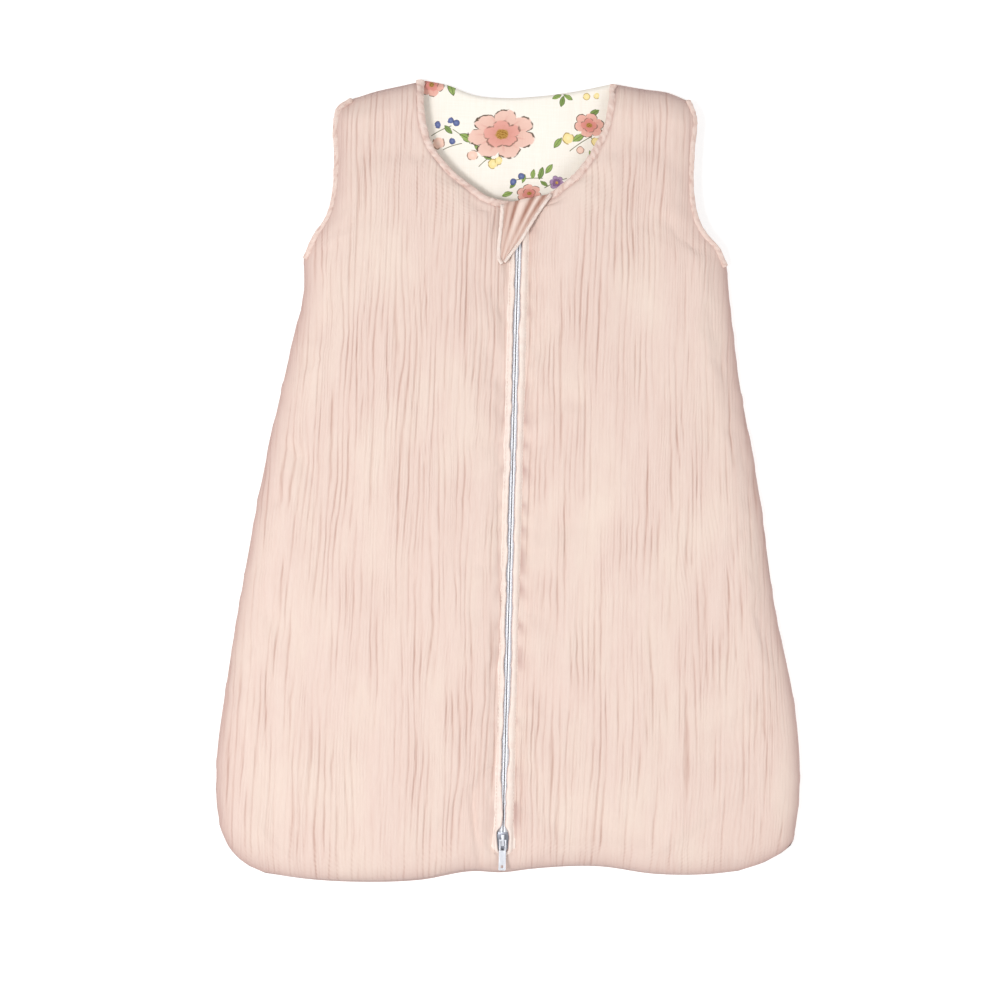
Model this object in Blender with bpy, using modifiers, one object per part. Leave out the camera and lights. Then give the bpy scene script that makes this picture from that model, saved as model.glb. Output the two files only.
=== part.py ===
"""A padded baby sleeping bag, lying on its back with the zip closed.

X runs across the bag, Y from the hem to the neck and Z up from the surface that it lies on. The origin is
at the middle of the bag's underside. The front opens by folding each half outwards along a crease, so each
front half is a side part, which stays, and a lapel, which turns.
"""

import math

import bmesh
import bpy
from mathutils import Vector

# Driving dimensions, in metres.
HALF_LENGTH = 0.350
NECK_HALF_WIDTH = 0.0805
NECK_CENTRE_Y = 0.322
NECK_DEPTH = 0.082
BACK_NECK_Y = 0.335
SHOULDER_OUTER = (0.1475, 0.3345)
SHOULDER_INNER_Y = 0.350
UNDERARM = (0.1855, 0.191)
GAP = 0.0003

# Right-hand outline, from the hem to the underarm, then round the armhole to the shoulder.
SIDE_POINTS = ((0.205, -0.350), (0.239, -0.335), (0.253, -0.300), (0.2545, -0.262), (0.2245, -0.060),
               (0.1935, 0.110), (0.1860, 0.1805))
ARMHOLE_POINTS = (UNDERARM, (0.1655, 0.219), (0.1568, 0.250), (0.1565, 0.290), (0.1550, 0.318),
                  SHOULDER_OUTER)
SIDE_ROWS = 16
ARMHOLE_ROWS = 8
OUTER_COLUMNS = (0.0, 0.008, 0.018, 0.030)
INNER_COLUMNS = 3
BACK_COLUMNS = 4
LAPEL_COLUMNS = 4
LAPEL_ROWS = 10
CURVE_STEPS = 16
SEAM_STEPS = 24

# Each layer's under and upper face, as its height at a seam and its height away from it.
BACK_SHELL = ((0.0, 0.0), (0.0008, 0.0008))
BACK_LINING = ((0.0011, 0.0054), (0.0017, 0.0060))
FRONT_LINING = ((0.0023, 0.0140), (0.0029, 0.0146))
FRONT_SHELL = ((0.0032, 0.0192), (0.0040, 0.0200))
SIDE_ROUNDING = 0.030
HEM_ROUNDING = 0.016
SHOULDER_ROUNDING = 0.022

# Bindings round the neck and the armholes.
BINDING_RADIUS = 0.0030
EDGE_TO_PANEL = 2 * BINDING_RADIUS + 3 * GAP
NECK_LAPEL_ANGLES = [2.0 + 4.085 * step for step in range(14)]
NECK_STRAP_ANGLES = (56.7, 62.0, 67.6, 73.2, 78.8, 84.4, 90.0)
FRONT_EDGE_Z = 0.0170
BACK_EDGE_Z = 0.0031
ARMHOLE_STEPS = 14
ARMHOLE_RISE_STEPS = 3.0
ARMHOLE_FIRST_STEP = 0.8
# The strap binding's upper end, as Y and the height under the front edge.
STRAP_END = ((0.3290, 0.0), (0.3370, 0.0040), (0.3420, 0.0090))

# The zip, on X = 0.
CHAIN_Z = 0.0165
TAPE_HALF_THICKNESS = 0.0002
TAPE_WIDTH = (0.0026, 0.0140)
TAPE_Y = (-0.326, 0.232)
COIL_WIDTH = (0.00015, 0.0023)
COIL_HALF_THICKNESS = 0.0011
COIL_Y = (-0.3140, 0.2240)
COIL_ROUNDING = 0.0004
END_FITTING_Y = (0.2245, 0.2325)
PIN_WIDTH = (0.0006, 0.0022)
PIN_HALF_THICKNESS = 0.0009
BOX_WIDTH = (0.0002, 0.0022)
BOX_HALF_THICKNESS = 0.0016
STOP_HALF_WIDTH = 0.0022
STOP_Y = (-0.3245, -0.3213)
STOP_HALF_THICKNESS = 0.0012
BAND_WIDTH = (0.0022, 0.0105)
BAND_Y = (-0.3285, 0.2325)
BAND_Z = (0.0190, 0.0202)

# Where each layer ends beside the zip, and how low each layer of a lapel reaches.
SHELL_EDGE = 0.0110
WADDING_EDGE = 0.0150
LINING_EDGE = 0.0065
SHELL_LOWEST_Y = -0.218
WADDING_LOWEST_Y = -0.183
LINING_LOWEST_Y = -0.258
BELOW_ZIP_Y = -0.332
HEM_INNER_ROWS = (-0.3500, -0.3415, -0.3330, -0.3295)

# The crease that each lapel turns about.
CREASE_TOP = (0.0745, 0.322)
CREASE_BOTTOM = (0.0, -0.335)
CREASE_Z = 0.0206
CREASE_CLEARANCE = 0.0008

# The slider at the hem end, where it stands when the zip is closed.
SLIDER_Y = (-0.3205, -0.3057)
SLIDER_HALF_WIDTH = 0.0052
SLIDER_END_HALF_WIDTH = 0.0041
SLIDER_CORNERS = (0.005, 0.004)
PLATE_INNER = 0.0014
PLATE_OUTER = 0.0022
POST_HALF_WIDTH = 0.0011
POST_FROM_END = (0.0006, 0.0046)
FLANGE_WIDTH = 0.0008
FLANGE_INNER = 0.00045
FLANGE_FROM_ENDS = (0.0055, 0.0045)
FLANGE_INSET = 0.00005
JOIN_OVERLAP = 0.0002
PIVOT = (-0.3123, 0.0214)
CROWN_Y = (-0.3171, -0.3075)
CROWN_TOP = 0.0234
CROWN_HALF_WIDTH = 0.0012
CROWN_WALL = 0.0012
CROWN_FLOOR = 0.0008
CROWN_ROOF = 0.0007
TAB_LENGTH = 0.0262
TAB_HALF_WIDTH = 0.0031
TAB_THICKNESS = 0.0012
TAB_SLOT = (0.0007, 0.0088)
TAB_SLOT_HALF_WIDTH = 0.0017
TAB_HOLE_FROM_END = (0.0022, 0.0044)
TAB_HOLE_HALF_WIDTH = 0.0011
TAB_ROUNDING = 0.0006
CUTTER_REACH = 0.01

# The triangular guard that folds over the top of the zip.
GUARD_LEFT = (-0.0178, 0.2395)
GUARD_TIP = (-0.0130, 0.1894)
GUARD_RIGHT = (0.0288, 0.2498)
GUARD_Z = 0.0218
GUARD_THICKNESS = 0.0016
GUARD_ROUNDING = 0.003

OUTER_PINK = (0.87, 0.70, 0.62)
LINING_CREAM = (0.95, 0.92, 0.86)
WADDING_WHITE = (0.93, 0.93, 0.92)
ZIP_WHITE = (0.86, 0.87, 0.88)
SILVER = (0.78, 0.78, 0.79)


def clear_scene():
    for obj in list(bpy.data.objects):
        bpy.data.objects.remove(obj, do_unlink=True)


def collection(name):
    made = bpy.data.collections.new(name)
    bpy.context.scene.collection.children.link(made)
    return made


def material(name, colour, roughness, metallic):
    made = bpy.data.materials.new(name)
    made.use_nodes = True
    shader = made.node_tree.nodes["Principled BSDF"]
    shader.inputs["Base Color"].default_value = (*colour, 1.0)
    shader.inputs["Roughness"].default_value = roughness
    shader.inputs["Metallic"].default_value = metallic
    return made


def add(name, mesh, colour, roughness=0.9, metallic=0.0):
    mesh.materials.clear()
    mesh.materials.append(material(name, colour, roughness, metallic))
    obj = bpy.data.objects.new(name, mesh)
    PARTS.objects.link(obj)
    return obj


def mesh_from(bm, name):
    bmesh.ops.recalc_face_normals(bm, faces=bm.faces[:])
    mesh = bpy.data.meshes.new(name)
    bm.to_mesh(mesh)
    bm.free()
    return mesh


def through(points, count):
    """Points spaced evenly along a Catmull-Rom curve through the given ones, ends included."""
    ends = [Vector(p) for p in points]
    ends = [2 * ends[0] - ends[1]] + ends + [2 * ends[-1] - ends[-2]]
    fine = []
    for a, b, c, d in zip(ends, ends[1:], ends[2:], ends[3:]):
        span = (c - b).length
        start = (c - a) * span / ((c - b).length + (b - a).length)
        end = (d - b) * span / ((d - c).length + (c - b).length)
        for step in range(CURVE_STEPS):
            t = step / CURVE_STEPS
            fine.append((2 * t**3 - 3 * t**2 + 1) * b + (t**3 - 2 * t**2 + t) * start
                        + (3 * t**2 - 2 * t**3) * c + (t**3 - t**2) * end)
    fine.append(ends[-2])
    travelled = [0.0]
    for a, b in zip(fine, fine[1:]):
        travelled.append(travelled[-1] + (b - a).length)
    evenly = []
    segment = 0
    for index in range(count):
        wanted = travelled[-1] * index / (count - 1)
        while segment < len(fine) - 2 and travelled[segment + 1] < wanted:
            segment += 1
        share = (wanted - travelled[segment]) / (travelled[segment + 1] - travelled[segment])
        evenly.append(fine[segment].lerp(fine[segment + 1], min(share, 1.0)))
    return evenly


def moved_in(points, distance):
    """A plan curve moved to its left as it runs, which on these outlines is into the cloth."""
    moved = []
    for index, point in enumerate(points):
        along = points[min(index + 1, len(points) - 1)] - points[max(index - 1, 0)]
        moved.append(point + distance * Vector((-along.y, along.x)).normalized())
    return moved


def distance_to(point, line):
    least = math.inf
    for a, b in zip(line, line[1:]):
        along = b - a
        share = max(0.0, min(1.0, (point - a).dot(along) / along.length_squared))
        least = min(least, (point - a - share * along).length)
    return least


def rounding(distance, reach):
    return math.sqrt(1 - (1 - max(0.0, min(distance / reach, 1.0))) ** 2)


def openness(x, y):
    """0 on a seam, rising to 1 where the layers lie flat."""
    point = Vector((abs(x), y))
    return (rounding(distance_to(point, SIDE_LINE), SIDE_ROUNDING)
            * rounding(y + HALF_LENGTH, HEM_ROUNDING)
            * rounding(distance_to(point, SHOULDER_LINE), SHOULDER_ROUNDING))


def height(face, x, y):
    seam, flat = face
    return seam + (flat - seam) * openness(x, y)


def raised(face, by):
    return (face[0] + by, face[1] + by)


def layer(name, rows, under, upper, colour):
    """A sheet over a grid of plan points. Each face is given by its heights at a seam and away from it."""
    across, along = len(rows[0]) - 1, len(rows) - 1
    bm = bmesh.new()
    bmesh.ops.create_grid(bm, x_segments=across, y_segments=along, size=1.0)
    for vert in bm.verts:
        column = round((vert.co.x + 1) / 2 * across)
        row = round((vert.co.y + 1) / 2 * along)
        x, y = rows[row][column]
        vert.co = (x, y, height(under, x, y))
    bmesh.ops.triangulate(bm, faces=bm.faces[:], quad_method="FIXED")
    top = bmesh.ops.extrude_face_region(bm, geom=bm.faces[:])["geom"]
    for vert in (item for item in top if isinstance(item, bmesh.types.BMVert)):
        vert.co.z = height(upper, vert.co.x, vert.co.y)
    return add(name, mesh_from(bm, name), colour)


def mirrored(rows):
    return [[(-x, y) for x, y in row] for row in rows]


def crease_x(y, clearance=0.0):
    share = (y - CREASE_BOTTOM[1]) / (CREASE_TOP[1] - CREASE_BOTTOM[1])
    return CREASE_BOTTOM[0] + share * (CREASE_TOP[0] - CREASE_BOTTOM[0]) + clearance


def neckline_x(y):
    """Where the cloth beside the front neckline begins: outside the binding, and straight up the strap."""
    across = NECK_HALF_WIDTH + EDGE_TO_PANEL
    below = min(max(0.0, NECK_CENTRE_Y - y) / (NECK_DEPTH + EDGE_TO_PANEL), 1.0)
    return across * math.sqrt(1 - below * below)


def outer_points():
    """Where each row of the right half ends, with the height on the inner edge that it runs from."""
    side = through(SIDE_POINTS, SIDE_ROWS + 1)
    armhole = moved_in(through(ARMHOLE_POINTS, ARMHOLE_ROWS + 1), EDGE_TO_PANEL)[1:]
    rise = SHOULDER_INNER_Y - armhole[-1].y
    pairs = [(point, y) for point, y in zip(side, HEM_INNER_ROWS)]
    pairs += [(point, point.y) for point in side[len(HEM_INNER_ROWS):]]
    for index, point in enumerate(armhole, 1):
        pairs.append((point, point.y + rise * (index / ARMHOLE_ROWS) ** 2))
    return pairs


def side_rows(pairs, zip_edge, below_zip_edge, insets):
    """The plan grid of a front side part, from the crease or the zip out to the side."""
    rows = []
    for outer, inner_y in pairs:
        edge = below_zip_edge if inner_y < BELOW_ZIP_Y else zip_edge
        crease = crease_x(min(inner_y, NECK_CENTRE_Y), CREASE_CLEARANCE)
        inner = Vector((max(edge, crease, neckline_x(inner_y)), inner_y))
        width = outer.x - inner.x
        shares = [inset / width for inset in insets]
        last = shares[-1]
        shares += [last + (1 - last) * step / INNER_COLUMNS for step in range(1, INNER_COLUMNS + 1)]
        rows.append([tuple(outer.lerp(inner, share)) for share in reversed(shares)])
    return rows


def lapel_rows(zip_edge, lowest_y):
    """The plan grid of a lapel: each row is a flatter copy of the neckline, down to a short last one."""
    across = NECK_HALF_WIDTH + EDGE_TO_PANEL
    down = NECK_DEPTH + EDGE_TO_PANEL
    first = math.asin(zip_edge / across)
    run = CREASE_TOP[1] - CREASE_BOTTOM[1]
    slope = CREASE_TOP[0] * down / run
    lean = math.atan2(slope, across)
    last = math.asin((CREASE_TOP[0] - CREASE_CLEARANCE) / math.hypot(across, slope)) - lean
    tip = (zip_edge, crease_x(lowest_y, -CREASE_CLEARANCE))
    rows = []
    for row in range(LAPEL_ROWS + 1):
        up = row / LAPEL_ROWS
        points = []
        for column in range(LAPEL_COLUMNS + 1):
            share = column / LAPEL_COLUMNS
            angle = first + (last - first) * share
            top = Vector((across * math.sin(angle), NECK_CENTRE_Y - down * math.cos(angle)))
            low = Vector((tip[0] + (tip[1] - tip[0]) * share, lowest_y))
            points.append(tuple(low.lerp(top, up)))
        rows.append(points)
    return rows


def back_rows(pairs, insets):
    """The plan grid of a back layer, from side to side, with the neckline dipping between the shoulders."""
    rows = []
    for outer, inner_y in pairs:
        widths = [outer.x - inset for inset in insets]
        widths += [widths[-1] * (1 - step / BACK_COLUMNS) for step in range(1, BACK_COLUMNS + 1)]
        right = []
        for x in reversed(widths):
            across = min(x / NECK_HALF_WIDTH, 1.0)
            past = max(0.0, x - NECK_HALF_WIDTH) / (outer.x - NECK_HALF_WIDTH)
            y = inner_y + (outer.y - inner_y) * past
            dip = (SHOULDER_INNER_Y - BACK_NECK_Y) * (1 - across * across)
            share = max(0.0, 1 - (SHOULDER_INNER_Y - inner_y) / (SHOULDER_INNER_Y - UNDERARM[1]))
            right.append((x, y - dip * share))
        rows.append([(-x, y) for x, y in reversed(right[1:])] + right)
    return rows


def tube(name, points, radius, closed, colour):
    curve = bpy.data.curves.new(name, "CURVE")
    curve.dimensions = "3D"
    curve.bevel_depth = radius
    curve.bevel_resolution = 2
    curve.use_fill_caps = not closed
    spline = curve.splines.new("POLY")
    spline.points.add(len(points) - 1)
    for target, point in zip(spline.points, points):
        target.co = (*point, 1.0)
    spline.use_cyclic_u = closed
    return add(name, curve, colour)


def slab(name, low, high, colour, roughness=0.9, metallic=0.0, bevel=0.0):
    """A box from its lowest to its highest corner, with its upright edges rounded if asked."""
    bm = bmesh.new()
    bmesh.ops.create_cube(bm, size=1.0)
    middle = (Vector(low) + Vector(high)) / 2
    size = Vector(high) - Vector(low)
    for vert in bm.verts:
        vert.co = middle + Vector(a * b for a, b in zip(vert.co, size))
    obj = add(name, mesh_from(bm, name), colour, roughness, metallic)
    if bevel:
        rounded = obj.modifiers.new("Rounded", "BEVEL")
        rounded.width = bevel
        rounded.segments = 2
    return obj


def opposite(span):
    """The same span of X on the other side of the zip."""
    return (-span[1], -span[0])


def plate(name, outline, thickness, colour, roughness, metallic):
    """A flat outline in X and Y, filled and extruded to its thickness about Z = 0."""
    curve = bpy.data.curves.new(name, "CURVE")
    curve.dimensions = "2D"
    curve.fill_mode = "BOTH"
    curve.extrude = thickness / 2
    spline = curve.splines.new("POLY")
    spline.points.add(len(outline) - 1)
    for target, (x, y) in zip(spline.points, outline):
        target.co = (x, y, 0.0, 1.0)
    spline.use_cyclic_u = True
    return add(name, curve, colour, roughness, metallic)


def made_mesh(obj):
    """The same object with its curve turned into a closed mesh, so that it can be cut and joined."""
    graph = bpy.context.evaluated_depsgraph_get()
    mesh = bpy.data.meshes.new_from_object(obj.evaluated_get(graph))
    bm = bmesh.new()
    bm.from_mesh(mesh)
    bmesh.ops.remove_doubles(bm, verts=bm.verts[:], dist=1e-6)
    bm.to_mesh(mesh)
    bm.free()
    made = bpy.data.objects.new(obj.name, mesh)
    made.matrix_world = obj.matrix_world
    PARTS.objects.link(made)
    name = obj.name
    bpy.data.objects.remove(obj)
    made.name = name
    return made


def boolean(obj, other, operation):
    modifier = obj.modifiers.new(operation.title(), "BOOLEAN")
    modifier.operation = operation
    modifier.object = other
    PARTS.objects.unlink(other)
    CUTTERS.objects.link(other)
    other.hide_render = True
    other.display_type = "WIRE"


def rounded_outline(corners, radius, steps=3):
    """A polygon with each corner cut by a short arc of about the given radius."""
    made = []
    count = len(corners)
    for index in range(count):
        here = Vector(corners[index])
        before = (Vector(corners[index - 1]) - here).normalized() * radius
        after = (Vector(corners[(index + 1) % count]) - here).normalized() * radius
        for step in range(steps + 1):
            t = step / steps
            made.append(tuple(here + before * (1 - t) ** 2 + after * t**2))
    return made


def make_back():
    full = back_rows(OUTER_POINTS, OUTER_COLUMNS)
    inner = back_rows(WADDING_POINTS, OUTER_COLUMNS[1:])
    layer("back_shell", full, *BACK_SHELL, OUTER_PINK)
    layer("back_wadding", inner, raised(BACK_SHELL[1], GAP), raised(BACK_LINING[0], -GAP),
          WADDING_WHITE)
    layer("back_lining", full, *BACK_LINING, LINING_CREAM)


def make_front_sides():
    shell = side_rows(OUTER_POINTS, SHELL_EDGE, GAP, OUTER_COLUMNS)
    wadding = side_rows(WADDING_POINTS, WADDING_EDGE, WADDING_EDGE, OUTER_COLUMNS[1:])
    lining = side_rows(OUTER_POINTS, LINING_EDGE, GAP, OUTER_COLUMNS)
    for side, turn in (("right", list), ("left", mirrored)):
        layer(f"front_shell_{side}", turn(shell), *FRONT_SHELL, OUTER_PINK)
        layer(f"front_wadding_{side}", turn(wadding), *FRONT_WADDING, WADDING_WHITE)
        layer(f"front_lining_{side}", turn(lining), *FRONT_LINING, LINING_CREAM)


def make_lapels():
    shell = lapel_rows(SHELL_EDGE, SHELL_LOWEST_Y)
    wadding = lapel_rows(WADDING_EDGE, WADDING_LOWEST_Y)
    lining = lapel_rows(LINING_EDGE, LINING_LOWEST_Y)
    for side, turn in (("right", list), ("left", mirrored)):
        layer(f"lapel_shell_{side}", turn(shell), *FRONT_SHELL, OUTER_PINK)
        layer(f"lapel_wadding_{side}", turn(wadding), *FRONT_WADDING, WADDING_WHITE)
        layer(f"lapel_lining_{side}", turn(lining), *FRONT_LINING, LINING_CREAM)


def make_armhole_bindings():
    """A closed roll round each armhole: up the front edge to the shoulder and down the back edge."""
    edge = moved_in(through(ARMHOLE_POINTS, ARMHOLE_STEPS + 1), BINDING_RADIUS)
    front = []
    for index, point in enumerate(edge):
        from_end = min(index, ARMHOLE_STEPS - index) + ARMHOLE_FIRST_STEP
        rise = (FRONT_EDGE_Z - BACK_EDGE_Z) * rounding(from_end, ARMHOLE_RISE_STEPS)
        front.append((point.x, point.y, BACK_EDGE_Z + rise))
    back = [(point.x, point.y, BACK_EDGE_Z) for point in reversed(edge)]
    for side, sign in (("right", 1), ("left", -1)):
        loop = [(sign * x, y, z) for x, y, z in front + back]
        tube(f"armhole_binding_{side}", loop, BINDING_RADIUS, True, OUTER_PINK)


def neck_point(angle):
    """A point on the middle of the neck binding; 0 is at the zip and a quarter turn at the strap."""
    return ((NECK_HALF_WIDTH + BINDING_RADIUS) * math.sin(angle),
            NECK_CENTRE_Y - (NECK_DEPTH + BINDING_RADIUS) * math.cos(angle), FRONT_EDGE_Z)


def make_neck_bindings():
    lapel = [neck_point(math.radians(angle)) for angle in NECK_LAPEL_ANGLES]
    strap = [neck_point(math.radians(angle)) for angle in NECK_STRAP_ANGLES]
    strap += [(NECK_HALF_WIDTH + BINDING_RADIUS, y, FRONT_EDGE_Z - drop) for y, drop in STRAP_END]
    for side, sign in (("right", 1), ("left", -1)):
        for name, points in (("neck_binding", lapel), ("strap_binding", strap)):
            turned = [(sign * px, py, pz) for px, py, pz in points]
            tube(f"{name}_{side}", turned, BINDING_RADIUS, False, OUTER_PINK)


def make_zip():
    def centred(name, width, along, half_height, colour, **look):
        """A box about the height of the zip's chain."""
        slab(name, (width[0], along[0], CHAIN_Z - half_height), (width[1], along[1], CHAIN_Z + half_height),
             colour, **look)

    for side, turn in (("right", tuple), ("left", opposite)):
        centred(f"zip_tape_{side}", turn(TAPE_WIDTH), TAPE_Y, TAPE_HALF_THICKNESS, ZIP_WHITE)
        centred(f"zip_coil_{side}", turn(COIL_WIDTH), COIL_Y, COIL_HALF_THICKNESS, ZIP_WHITE,
                roughness=0.4, bevel=COIL_ROUNDING)
        band = turn(BAND_WIDTH)
        slab(f"zip_band_{side}", (band[0], BAND_Y[0], BAND_Z[0]), (band[1], BAND_Y[1], BAND_Z[1]), OUTER_PINK)
    centred("zip_insertion_pin", opposite(PIN_WIDTH), END_FITTING_Y, PIN_HALF_THICKNESS, ZIP_WHITE,
            roughness=0.35, bevel=0.0003)
    centred("zip_retainer_box", BOX_WIDTH, END_FITTING_Y, BOX_HALF_THICKNESS, ZIP_WHITE,
            roughness=0.35, bevel=0.0004)
    centred("zip_bottom_stop", (-STOP_HALF_WIDTH, STOP_HALF_WIDTH), STOP_Y, STOP_HALF_THICKNESS, SILVER,
            roughness=0.3, metallic=1.0, bevel=0.0004)


def slider_plate(name, low, high):
    """One plate of the slider, with its four corners cut off."""
    start, end = SLIDER_Y
    start_cut, end_cut = SLIDER_CORNERS
    right = [(SLIDER_END_HALF_WIDTH, start), (SLIDER_HALF_WIDTH, start + start_cut),
             (SLIDER_HALF_WIDTH, end - end_cut), (SLIDER_END_HALF_WIDTH, end)]
    outline = right + [(-x, y) for x, y in reversed(right)]
    made = plate(name, outline, high - low, SILVER, 0.28, 1.0)
    made.location.z = CHAIN_Z + (low + high) / 2
    bpy.context.view_layer.update()
    return made_mesh(made)


def make_slider():
    """Two plates held by a post, with flanges that leave a slot for the tape."""
    body = slider_plate("zip_slider_body", -PLATE_OUTER, -PLATE_INNER)
    boolean(body, slider_plate("slider_top_plate", PLATE_INNER, PLATE_OUTER), "UNION")
    start, end = SLIDER_Y
    reach = PLATE_INNER + JOIN_OVERLAP
    post = slab("slider_post", (-POST_HALF_WIDTH, start + POST_FROM_END[0], CHAIN_Z - reach),
                (POST_HALF_WIDTH, start + POST_FROM_END[1], CHAIN_Z + reach), SILVER)
    boolean(body, post, "UNION")
    flange_y = (start + FLANGE_FROM_ENDS[0], end - FLANGE_FROM_ENDS[1])
    for across in (-1, 1):
        for up in (-1, 1):
            x = sorted(across * (SLIDER_HALF_WIDTH - inset) for inset in (FLANGE_WIDTH, FLANGE_INSET))
            z = sorted((CHAIN_Z + up * FLANGE_INNER, CHAIN_Z + up * reach))
            flange = slab(f"slider_flange_{across}_{up}", (x[0], flange_y[0], z[0]),
                          (x[1], flange_y[1], z[1]), SILVER)
            boolean(body, flange, "UNION")


def make_crown():
    """A bridge along the slider: a block with a window under it for the tab's bar."""
    base = CHAIN_Z + PLATE_OUTER + GAP
    crown = slab("zip_slider_crown", (-CROWN_HALF_WIDTH, CROWN_Y[0], base),
                 (CROWN_HALF_WIDTH, CROWN_Y[1], CROWN_TOP), SILVER, 0.28, 1.0)
    window = slab("crown_window", (-CUTTER_REACH, CROWN_Y[0] + CROWN_WALL, base + CROWN_FLOOR),
                  (CUTTER_REACH, CROWN_Y[1] - CROWN_WALL, CROWN_TOP - CROWN_ROOF), SILVER)
    boolean(crown, window, "DIFFERENCE")


def make_tab():
    """A flat tab lying towards the hem. Its bar is on the pivot, and the crown's foot stands in its slot."""
    half = TAB_HALF_WIDTH
    bar = TAB_THICKNESS / 2
    outline = rounded_outline([(-half, bar), (-half, -TAB_LENGTH), (half, -TAB_LENGTH), (half, bar)],
                              TAB_ROUNDING)
    tab = made_mesh(plate("zip_pull_tab", outline, TAB_THICKNESS, SILVER, 0.28, 1.0))
    slot = slab("tab_slot", (-TAB_SLOT_HALF_WIDTH, -TAB_SLOT[1], -CUTTER_REACH),
                (TAB_SLOT_HALF_WIDTH, -TAB_SLOT[0], CUTTER_REACH), SILVER)
    boolean(tab, slot, "DIFFERENCE")
    hole = slab("tab_hole", (-TAB_HOLE_HALF_WIDTH, -TAB_LENGTH + TAB_HOLE_FROM_END[0], -CUTTER_REACH),
                (TAB_HOLE_HALF_WIDTH, -TAB_LENGTH + TAB_HOLE_FROM_END[1], CUTTER_REACH), SILVER)
    boolean(tab, hole, "DIFFERENCE")
    for obj in (tab, slot, hole):
        obj.location = (0.0, *PIVOT)


def make_guard():
    """A three-cornered flap whose upper edge, over the neckline, is what it turns about."""
    middle = (Vector(GUARD_LEFT) + Vector(GUARD_RIGHT)) / 2
    corners = [Vector(c) - middle for c in (GUARD_LEFT, GUARD_TIP, GUARD_RIGHT)]
    guard = plate("zip_guard", rounded_outline(corners, GUARD_ROUNDING), GUARD_THICKNESS, OUTER_PINK,
                  0.9, 0.0)
    guard.location = (*middle, GUARD_Z)


clear_scene()
PARTS = collection("baby_sleeping_bag")
CUTTERS = collection("cutters")
SIDE_LINE = through(SIDE_POINTS, SEAM_STEPS) + [Vector(UNDERARM)]
SHOULDER_LINE = [Vector((NECK_HALF_WIDTH, SHOULDER_INNER_Y)), Vector(SHOULDER_OUTER)]
FRONT_WADDING = (raised(FRONT_LINING[1], GAP), raised(FRONT_SHELL[0], -GAP))
OUTER_POINTS = outer_points()
WADDING_POINTS = OUTER_POINTS[3:-1]
make_back()
make_front_sides()
make_lapels()
make_armhole_bindings()
make_neck_bindings()
make_zip()
make_slider()
make_crown()
make_tab()
make_guard()
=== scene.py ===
"""The looks of the baby sleeping bag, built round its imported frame.

Cloth is laid out on grids of points that run from the zip or the neckline out to the side seams. A coarse
grid of each front half is simulated as cloth, and a fine one takes its swell and adds the gauze's creases.
"""

import math

import bmesh
import bpy
import numpy as np
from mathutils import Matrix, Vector


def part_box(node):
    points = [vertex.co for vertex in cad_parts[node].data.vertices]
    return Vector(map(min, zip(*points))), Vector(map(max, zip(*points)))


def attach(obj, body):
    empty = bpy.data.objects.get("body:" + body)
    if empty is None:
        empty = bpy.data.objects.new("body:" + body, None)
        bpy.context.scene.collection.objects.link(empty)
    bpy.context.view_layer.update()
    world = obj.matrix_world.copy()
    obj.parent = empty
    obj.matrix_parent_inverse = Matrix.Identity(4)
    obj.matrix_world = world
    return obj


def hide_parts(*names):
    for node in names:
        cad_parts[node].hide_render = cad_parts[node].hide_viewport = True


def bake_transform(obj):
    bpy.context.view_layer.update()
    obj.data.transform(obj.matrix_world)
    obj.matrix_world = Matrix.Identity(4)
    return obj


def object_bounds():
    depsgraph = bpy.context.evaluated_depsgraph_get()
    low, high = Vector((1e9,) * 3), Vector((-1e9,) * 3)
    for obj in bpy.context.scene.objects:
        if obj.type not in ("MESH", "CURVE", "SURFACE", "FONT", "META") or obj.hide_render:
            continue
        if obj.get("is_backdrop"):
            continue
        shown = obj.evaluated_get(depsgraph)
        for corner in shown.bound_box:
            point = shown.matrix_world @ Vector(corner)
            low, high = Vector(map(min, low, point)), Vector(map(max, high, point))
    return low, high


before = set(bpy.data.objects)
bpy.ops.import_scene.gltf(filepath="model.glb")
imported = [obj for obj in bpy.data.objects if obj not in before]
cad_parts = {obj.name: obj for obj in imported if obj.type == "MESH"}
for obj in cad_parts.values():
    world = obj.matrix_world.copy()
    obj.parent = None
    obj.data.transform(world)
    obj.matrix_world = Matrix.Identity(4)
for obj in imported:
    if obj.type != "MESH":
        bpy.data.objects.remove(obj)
CAD_LOW, CAD_HIGH = ([float(value) for value in corner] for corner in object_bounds())
SIDES = {"right": 1.0, "left": -1.0}

# Each half's outline in plan, in metres from the zip, from the hem to the neck.
SIDE = {
    "right": ((0.2060, -0.3358), (0.2320, -0.3258), (0.2505, -0.3125), (0.2570, -0.2850), (0.2582, -0.2550),
              (0.2500, -0.1800), (0.2355, -0.1200), (0.2150, 0.0), (0.1930, 0.1100), (0.1855, 0.1650),
              (0.1825, 0.1925)),
    "left": ((0.2060, -0.3485), (0.2240, -0.3405), (0.2385, -0.3270), (0.2490, -0.3000), (0.2518, -0.2620),
             (0.2445, -0.1800), (0.2364, -0.1200), (0.2178, 0.0), (0.1965, 0.1100), (0.1865, 0.1600),
             (0.1873, 0.1900)),
}
ARMHOLE = {
    "right": ((0.1825, 0.1925), (0.1740, 0.2080), (0.1625, 0.2200), (0.1545, 0.2360), (0.1512, 0.2550),
              (0.1510, 0.2950), (0.1515, 0.3220), (0.1470, 0.3350)),
    "left": ((0.1873, 0.1900), (0.1775, 0.2100), (0.1708, 0.2200), (0.1655, 0.2320), (0.1625, 0.2500),
             (0.1622, 0.2800), (0.1636, 0.3080), (0.1605, 0.3210), (0.1510, 0.3290)),
}
SHOULDER = {
    "right": ((0.1470, 0.3350), (0.1280, 0.3420), (0.1030, 0.3452), (0.0790, 0.3490)),
    "left": ((0.1510, 0.3290), (0.1270, 0.3370), (0.1030, 0.3430), (0.0860, 0.3475)),
}
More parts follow.
